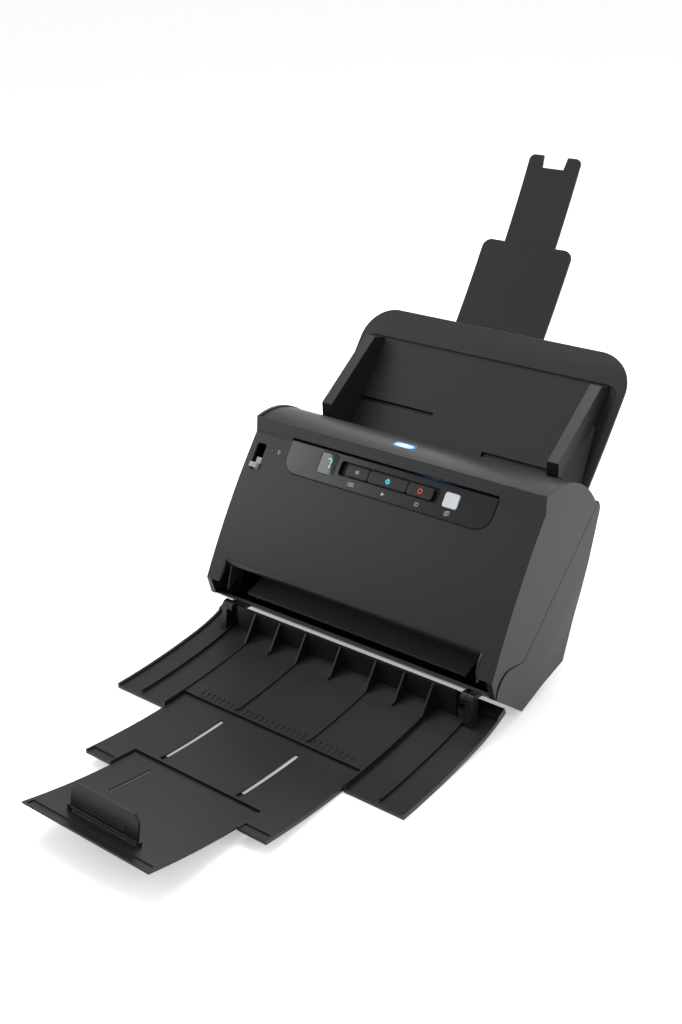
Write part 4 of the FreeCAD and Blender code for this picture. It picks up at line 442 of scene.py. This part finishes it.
def ringPlate(inner, outer, thickness, lift, around):
    # a flat ring lying on the face
    clearSelection()
    bpy.ops.mesh.primitive_torus_add(major_radius=(inner + outer) / 2000, minor_radius=(outer - inner) / 2000,
                                     major_segments=around, minor_segments=8)
    piece = bpy.context.object
    bpy.ops.object.mode_set(mode="EDIT")
    bpy.ops.mesh.select_all(action="SELECT")
    bpy.ops.transform.resize(value=(1, 1, thickness / (outer - inner)))
    bpy.ops.transform.translate(value=(0, 0, lift / 1000))
    bpy.ops.object.mode_set(mode="OBJECT")
    return piece


def joined(pieces):
    clearSelection()
    for piece in pieces:
        piece.select_set(True)
    bpy.context.view_layer.objects.active = pieces[0]
    bpy.ops.object.join()
    return bpy.context.object


def shifted(piece, x=0.0, y=0.0, z=0.0, turn=0.0):
    # moves a loose piece by millimetres, turned about Z first
    move = Matrix.Translation(Vector((x, y, z)) / 1000)
    piece.data.transform(move @ Matrix.Rotation(math.radians(turn), 4, "Z") @ piece.matrix_basis)
    piece.matrix_basis = Matrix()
    return piece


def strokes(sizes, spots, thickness, edge, z):
    # ink strokes of the given widths and heights, one at each spot
    return [shifted(block((*size, thickness), edge), x, y, z) for size, (x, y) in zip(sizes, spots)]


# ---- marks on the keys and signs under them

keyMarks = {"down": 10.2, "top": 0.3, "ink": 0.12, "edge": 0.03}
startMark = {"x": 1.7, "bar": (2.99, 0.95), "out": 1.426, "stem": (0.55, 5.4)}
stopMark = {"x": 33.3, "inner": 1.45, "outer": 2.15, "around": 40}
jobMark = {"x": -29.0, "sizes": [(3.0, 0.5), (4.2, 0.5), (3.0, 0.5)],
           "spots": [(0, 1.1), (0, 0.0), (0, -1.1)]}


def addKeyMarks():
    # a diamond with a stem, a ring, and three dashes
    ink, edge = keyMarks["ink"], keyMarks["edge"]
    z = keyMarks["top"] + ink / 2
    diamond = []
    for turn in (45, 135, 225, 315):
        bar = shifted(block((*startMark["bar"], ink), edge), 0, startMark["out"], z)
        diamond.append(shifted(bar, turn=turn))
    diamond += strokes([startMark["stem"]], [(0, 0)], ink, edge, z)
    # the teal diamond on the start key and the red ring on the stop key glow as painted light
    seat(joined(diamond), "startMark", faceFrame(keyMarks["down"], startMark["x"]), "tealKeyInkPaintedGlow", "start_key")
    ring = ringPlate(stopMark["inner"], stopMark["outer"], ink, z, stopMark["around"])
    seat(ring, "stopMark", faceFrame(keyMarks["down"], stopMark["x"]), "redKeyInkPaintedGlow", "stop_key")
    dashes = strokes(jobMark["sizes"], jobMark["spots"], ink, edge, z)
    seat(joined(dashes), "jobMark", faceFrame(keyMarks["down"], jobMark["x"]), "paleGreyInk", "job_key")


signs = {"down": 21.2, "ink": 0.1, "edge": 0.02, "foot": 0.78}
listSign = {"x": -31.0, "row": (5.0, 0.45), "rowX": 0.9, "dot": (0.6, 0.6), "dotX": -2.6,
            "rises": (1.2, 0.0, -1.2)}
goSign = {"x": 1.7, "corners": [(-1.4, 1.6), (-1.4, -1.6), (1.6, 0)]}
haltSign = {"x": 34.6, "sizes": [(3.0, 0.45), (3.0, 0.45), (0.45, 3.0), (0.45, 3.0)],
            "spots": [(0, 1.3), (0, -1.3), (1.3, 0), (-1.3, 0)]}
# the second sheet stands up and to the right of the first, along one diagonal
sheetSign = {"x": 63.2, "across": (2.4, 0.4), "upright": (0.4, 3.0), "halfHeight": 1.5, "halfWidth": 1.1,
             "moves": (-0.7, 0.9), "rise": 0.5}


def addSigns():
    # small generic signs stand under the keys: a list, a triangle, a square and two sheets
    ink, edge = signs["ink"], signs["edge"]
    z = signs["foot"] + ink / 2

    def place(piece, name, x):
        seat(piece, name, faceFrame(signs["down"], x), "paleGreyInk", "front_unit")
    rows = strokes([listSign["row"]] * 3, [(listSign["rowX"], y) for y in listSign["rises"]], ink, edge, z)
    dots = strokes([listSign["dot"]] * 3, [(listSign["dotX"], y) for y in listSign["rises"]], ink, edge, z)
    place(joined(rows + dots), "listSign", listSign["x"])
    place(polygonPlate(goSign["corners"], ink, edge, signs["foot"]), "goSign", goSign["x"])
    place(joined(strokes(haltSign["sizes"], haltSign["spots"], ink, edge, z)), "haltSign", haltSign["x"])
    tall, wide = sheetSign["halfHeight"], sheetSign["halfWidth"]
    sheets = []
    for move in sheetSign["moves"]:
        rise = move * sheetSign["rise"]
        ends = [(move, tall + rise), (move, -tall + rise)]
        sides = [(wide + move, rise), (-wide + move, rise)]
        sheets += strokes([sheetSign["across"]] * 2, ends, ink, edge, z)
        sheets += strokes([sheetSign["upright"]] * 2, sides, ink, edge, z)
    place(joined(sheets), "doubleSheetSign", sheetSign["x"])


digit = {"x": -59.2, "down": 9.8, "width": 4.2, "height": 8.4, "stroke": 0.9, "thickness": 0.08, "edge": 0.02,
         "middle": 0.69, "lean": 0.08}


def addDigit():
    # one lit figure on a seven stroke display: the two right-hand strokes and the top one
    half, tall, wide = digit["width"] / 2, digit["height"] / 2, digit["stroke"]
    upright, across = (wide, tall - wide), (digit["width"] - wide, wide)
    spots = [(half, tall / 2), (half, -tall / 2), (0, tall)]
    figure = joined(strokes([upright, upright, across], spots, digit["thickness"], digit["edge"],
                            digit["middle"]))
    for vertex in figure.data.vertices:
        vertex.co.x += vertex.co.y * digit["lean"]
    seat(figure, "displayDigit", faceFrame(digit["down"], digit["x"]), "greenSegmentLight", "front_unit")


pilot = {"x": -119.3, "down": 12.4, "inner": 0.9, "outer": 2.0, "thickness": 0.35, "lift": 0.05, "around": 28}
pilotLens = {"radius": 1.1, "lift": 0.06, "around": 24, "rim": 0.4, "dome": 0.04}
leverSign = {"x": -111.8, "down": 12.4, "sizes": [(3.4, 0.35), (3.4, 0.35), (0.35, 3.2)],
             "spots": [(0, 1.0), (0, -1.0), (0, 0)], "ink": 0.1, "edge": 0.02, "middle": 0.03}
leverGrip = {"x": -131.5, "down": 28.8, "size": (6.4, 0.45), "rises": (-1.1, 0.0, 1.1), "height": 0.5,
             "edge": 0.12, "middle": 3.45}


def addLeverTrim():
    # a pilot hole drawn as a small lens inside a flat ring painted near black for the hole's shade, a small
    # sheet sign beside the lever, and grip lines on its knob
    rim = ringPlate(pilot["inner"], pilot["outer"], pilot["thickness"], pilot["lift"], pilot["around"])
    seat(rim, "pilotHoleShade", faceFrame(pilot["down"], pilot["x"]), "paintedRecessShadeAbs", "front_unit")
    clearSelection()
    bpy.ops.mesh.primitive_circle_add(vertices=pilotLens["around"], radius=pilotLens["radius"] / 1000,
                                      fill_type="NGON", location=(0, 0, pilotLens["lift"] / 1000))
    lens = bpy.context.object
    bpy.ops.object.mode_set(mode="EDIT")
    bpy.ops.mesh.inset(thickness=pilotLens["rim"] / 1000, depth=pilotLens["dome"] / 1000)
    bpy.ops.object.mode_set(mode="OBJECT")
    seat(lens, "pilotLens", faceFrame(pilot["down"], pilot["x"]), "smokedWindow", "front_unit")
    bars = strokes(leverSign["sizes"], leverSign["spots"], leverSign["ink"], leverSign["edge"],
                   leverSign["middle"])
    seat(joined(bars), "leverSign", faceFrame(leverSign["down"], leverSign["x"]), "paleGreyInk", "front_unit")
    ridges = strokes([leverGrip["size"]] * 3, [(0, y) for y in leverGrip["rises"]], leverGrip["height"],
                     leverGrip["edge"], leverGrip["middle"])
    seat(joined(ridges), "leverGrip", faceFrame(leverGrip["down"], leverGrip["x"]), "silverPaintedAbs",
         "feed_lever")


# ---- tray and slot trim

comb = {"from": -75.0, "to": 80.0, "pitch": 5.2, "length": 7.5, "width": 1.0, "height": 0.8, "edge": 0.15,
        "taper": (0.5, 0.92), "angle": 0.35, "middle": 6.2}


def addComb():
    # fine teeth along the front edge of the tray's deck
    teeth = []
    x = comb["from"]
    while x <= comb["to"]:
        tooth = block((comb["width"], comb["length"], comb["height"]), comb["edge"], comb["taper"])
        tooth.data.transform(trayFrame(comb["angle"], x, comb["middle"]))
        teeth.append(tooth)
        x += comb["pitch"]
    seat(joined(teeth), "deckComb", Matrix(), "satinAbsTray", "eject_tray")


slotEnd = {"x": 130.2, "down": 121.0, "thickness": 2.2, "edge": 0.4, "foot": -2.0,
           "outline": [(0, -10), (0, 10), (1.2, 9.0), (2.0, 5.5), (2.4, 0.0), (2.0, -6.0), (1.0, -9.3)]}


def addSlotEnds():
    # polished curved end caps close the paper slot's rim on both sides
    for name, hand in (("slotEndLeft", -1), ("slotEndRight", 1)):
        corners = [(-hand * x, y) for x, y in slotEnd["outline"]][::-hand]
        cap = polygonPlate(corners, slotEnd["thickness"], slotEnd["edge"], slotEnd["foot"])
        seat(cap, name, faceFrame(slotEnd["down"], slotEnd["x"] * hand), "polishedPanelAcrylic", "front_unit")


floorSet = {"size": 80, "dark": "#f4f4f4", "light": "#f8f8f8", "fibreMm": 120, "roughness": 0.85, "glow": 0.4}


def addFloor():
    # matt white paper sweep, lifted a little so that it reads as white round the shadow
    clearSelection()
    bpy.ops.mesh.primitive_plane_add(size=floorSet["size"])
    floor = bpy.context.object
    floor.name = "paleFloor"
    shader = {"Roughness": floorSet["roughness"], "Emission Color": (1, 1, 1, 1),
              "Emission Strength": floorSet["glow"]}
    material, tree, body, place = startMaterial("mattWhitePaper", shader)
    fibre = addNode(tree, "ShaderNodeTexNoise", sockets={"Scale": perMetre(floorSet["fibreMm"])},
                    links={"Vector": place})
    tone = addNode(tree, "ShaderNodeMix", settings={"data_type": "RGBA"}, links={0: fibre.outputs["Fac"]},
                   sockets={6: linear(floorSet["dark"]), 7: linear(floorSet["light"])})
    tree.links.new(tone.outputs[2], body.inputs["Base Color"])
    floor.data.materials.append(material)


addCamera()
addLight()
addFloor()
print("stage: camera, light and floor")
finishNodes()
print("stage: finishes on the moulded and metal parts")
addKeyMarks()
addSigns()
addDigit()
addLeverTrim()
print("stage: panel marks")
addComb()
addSlotEnds()
print("stage: tray trim")
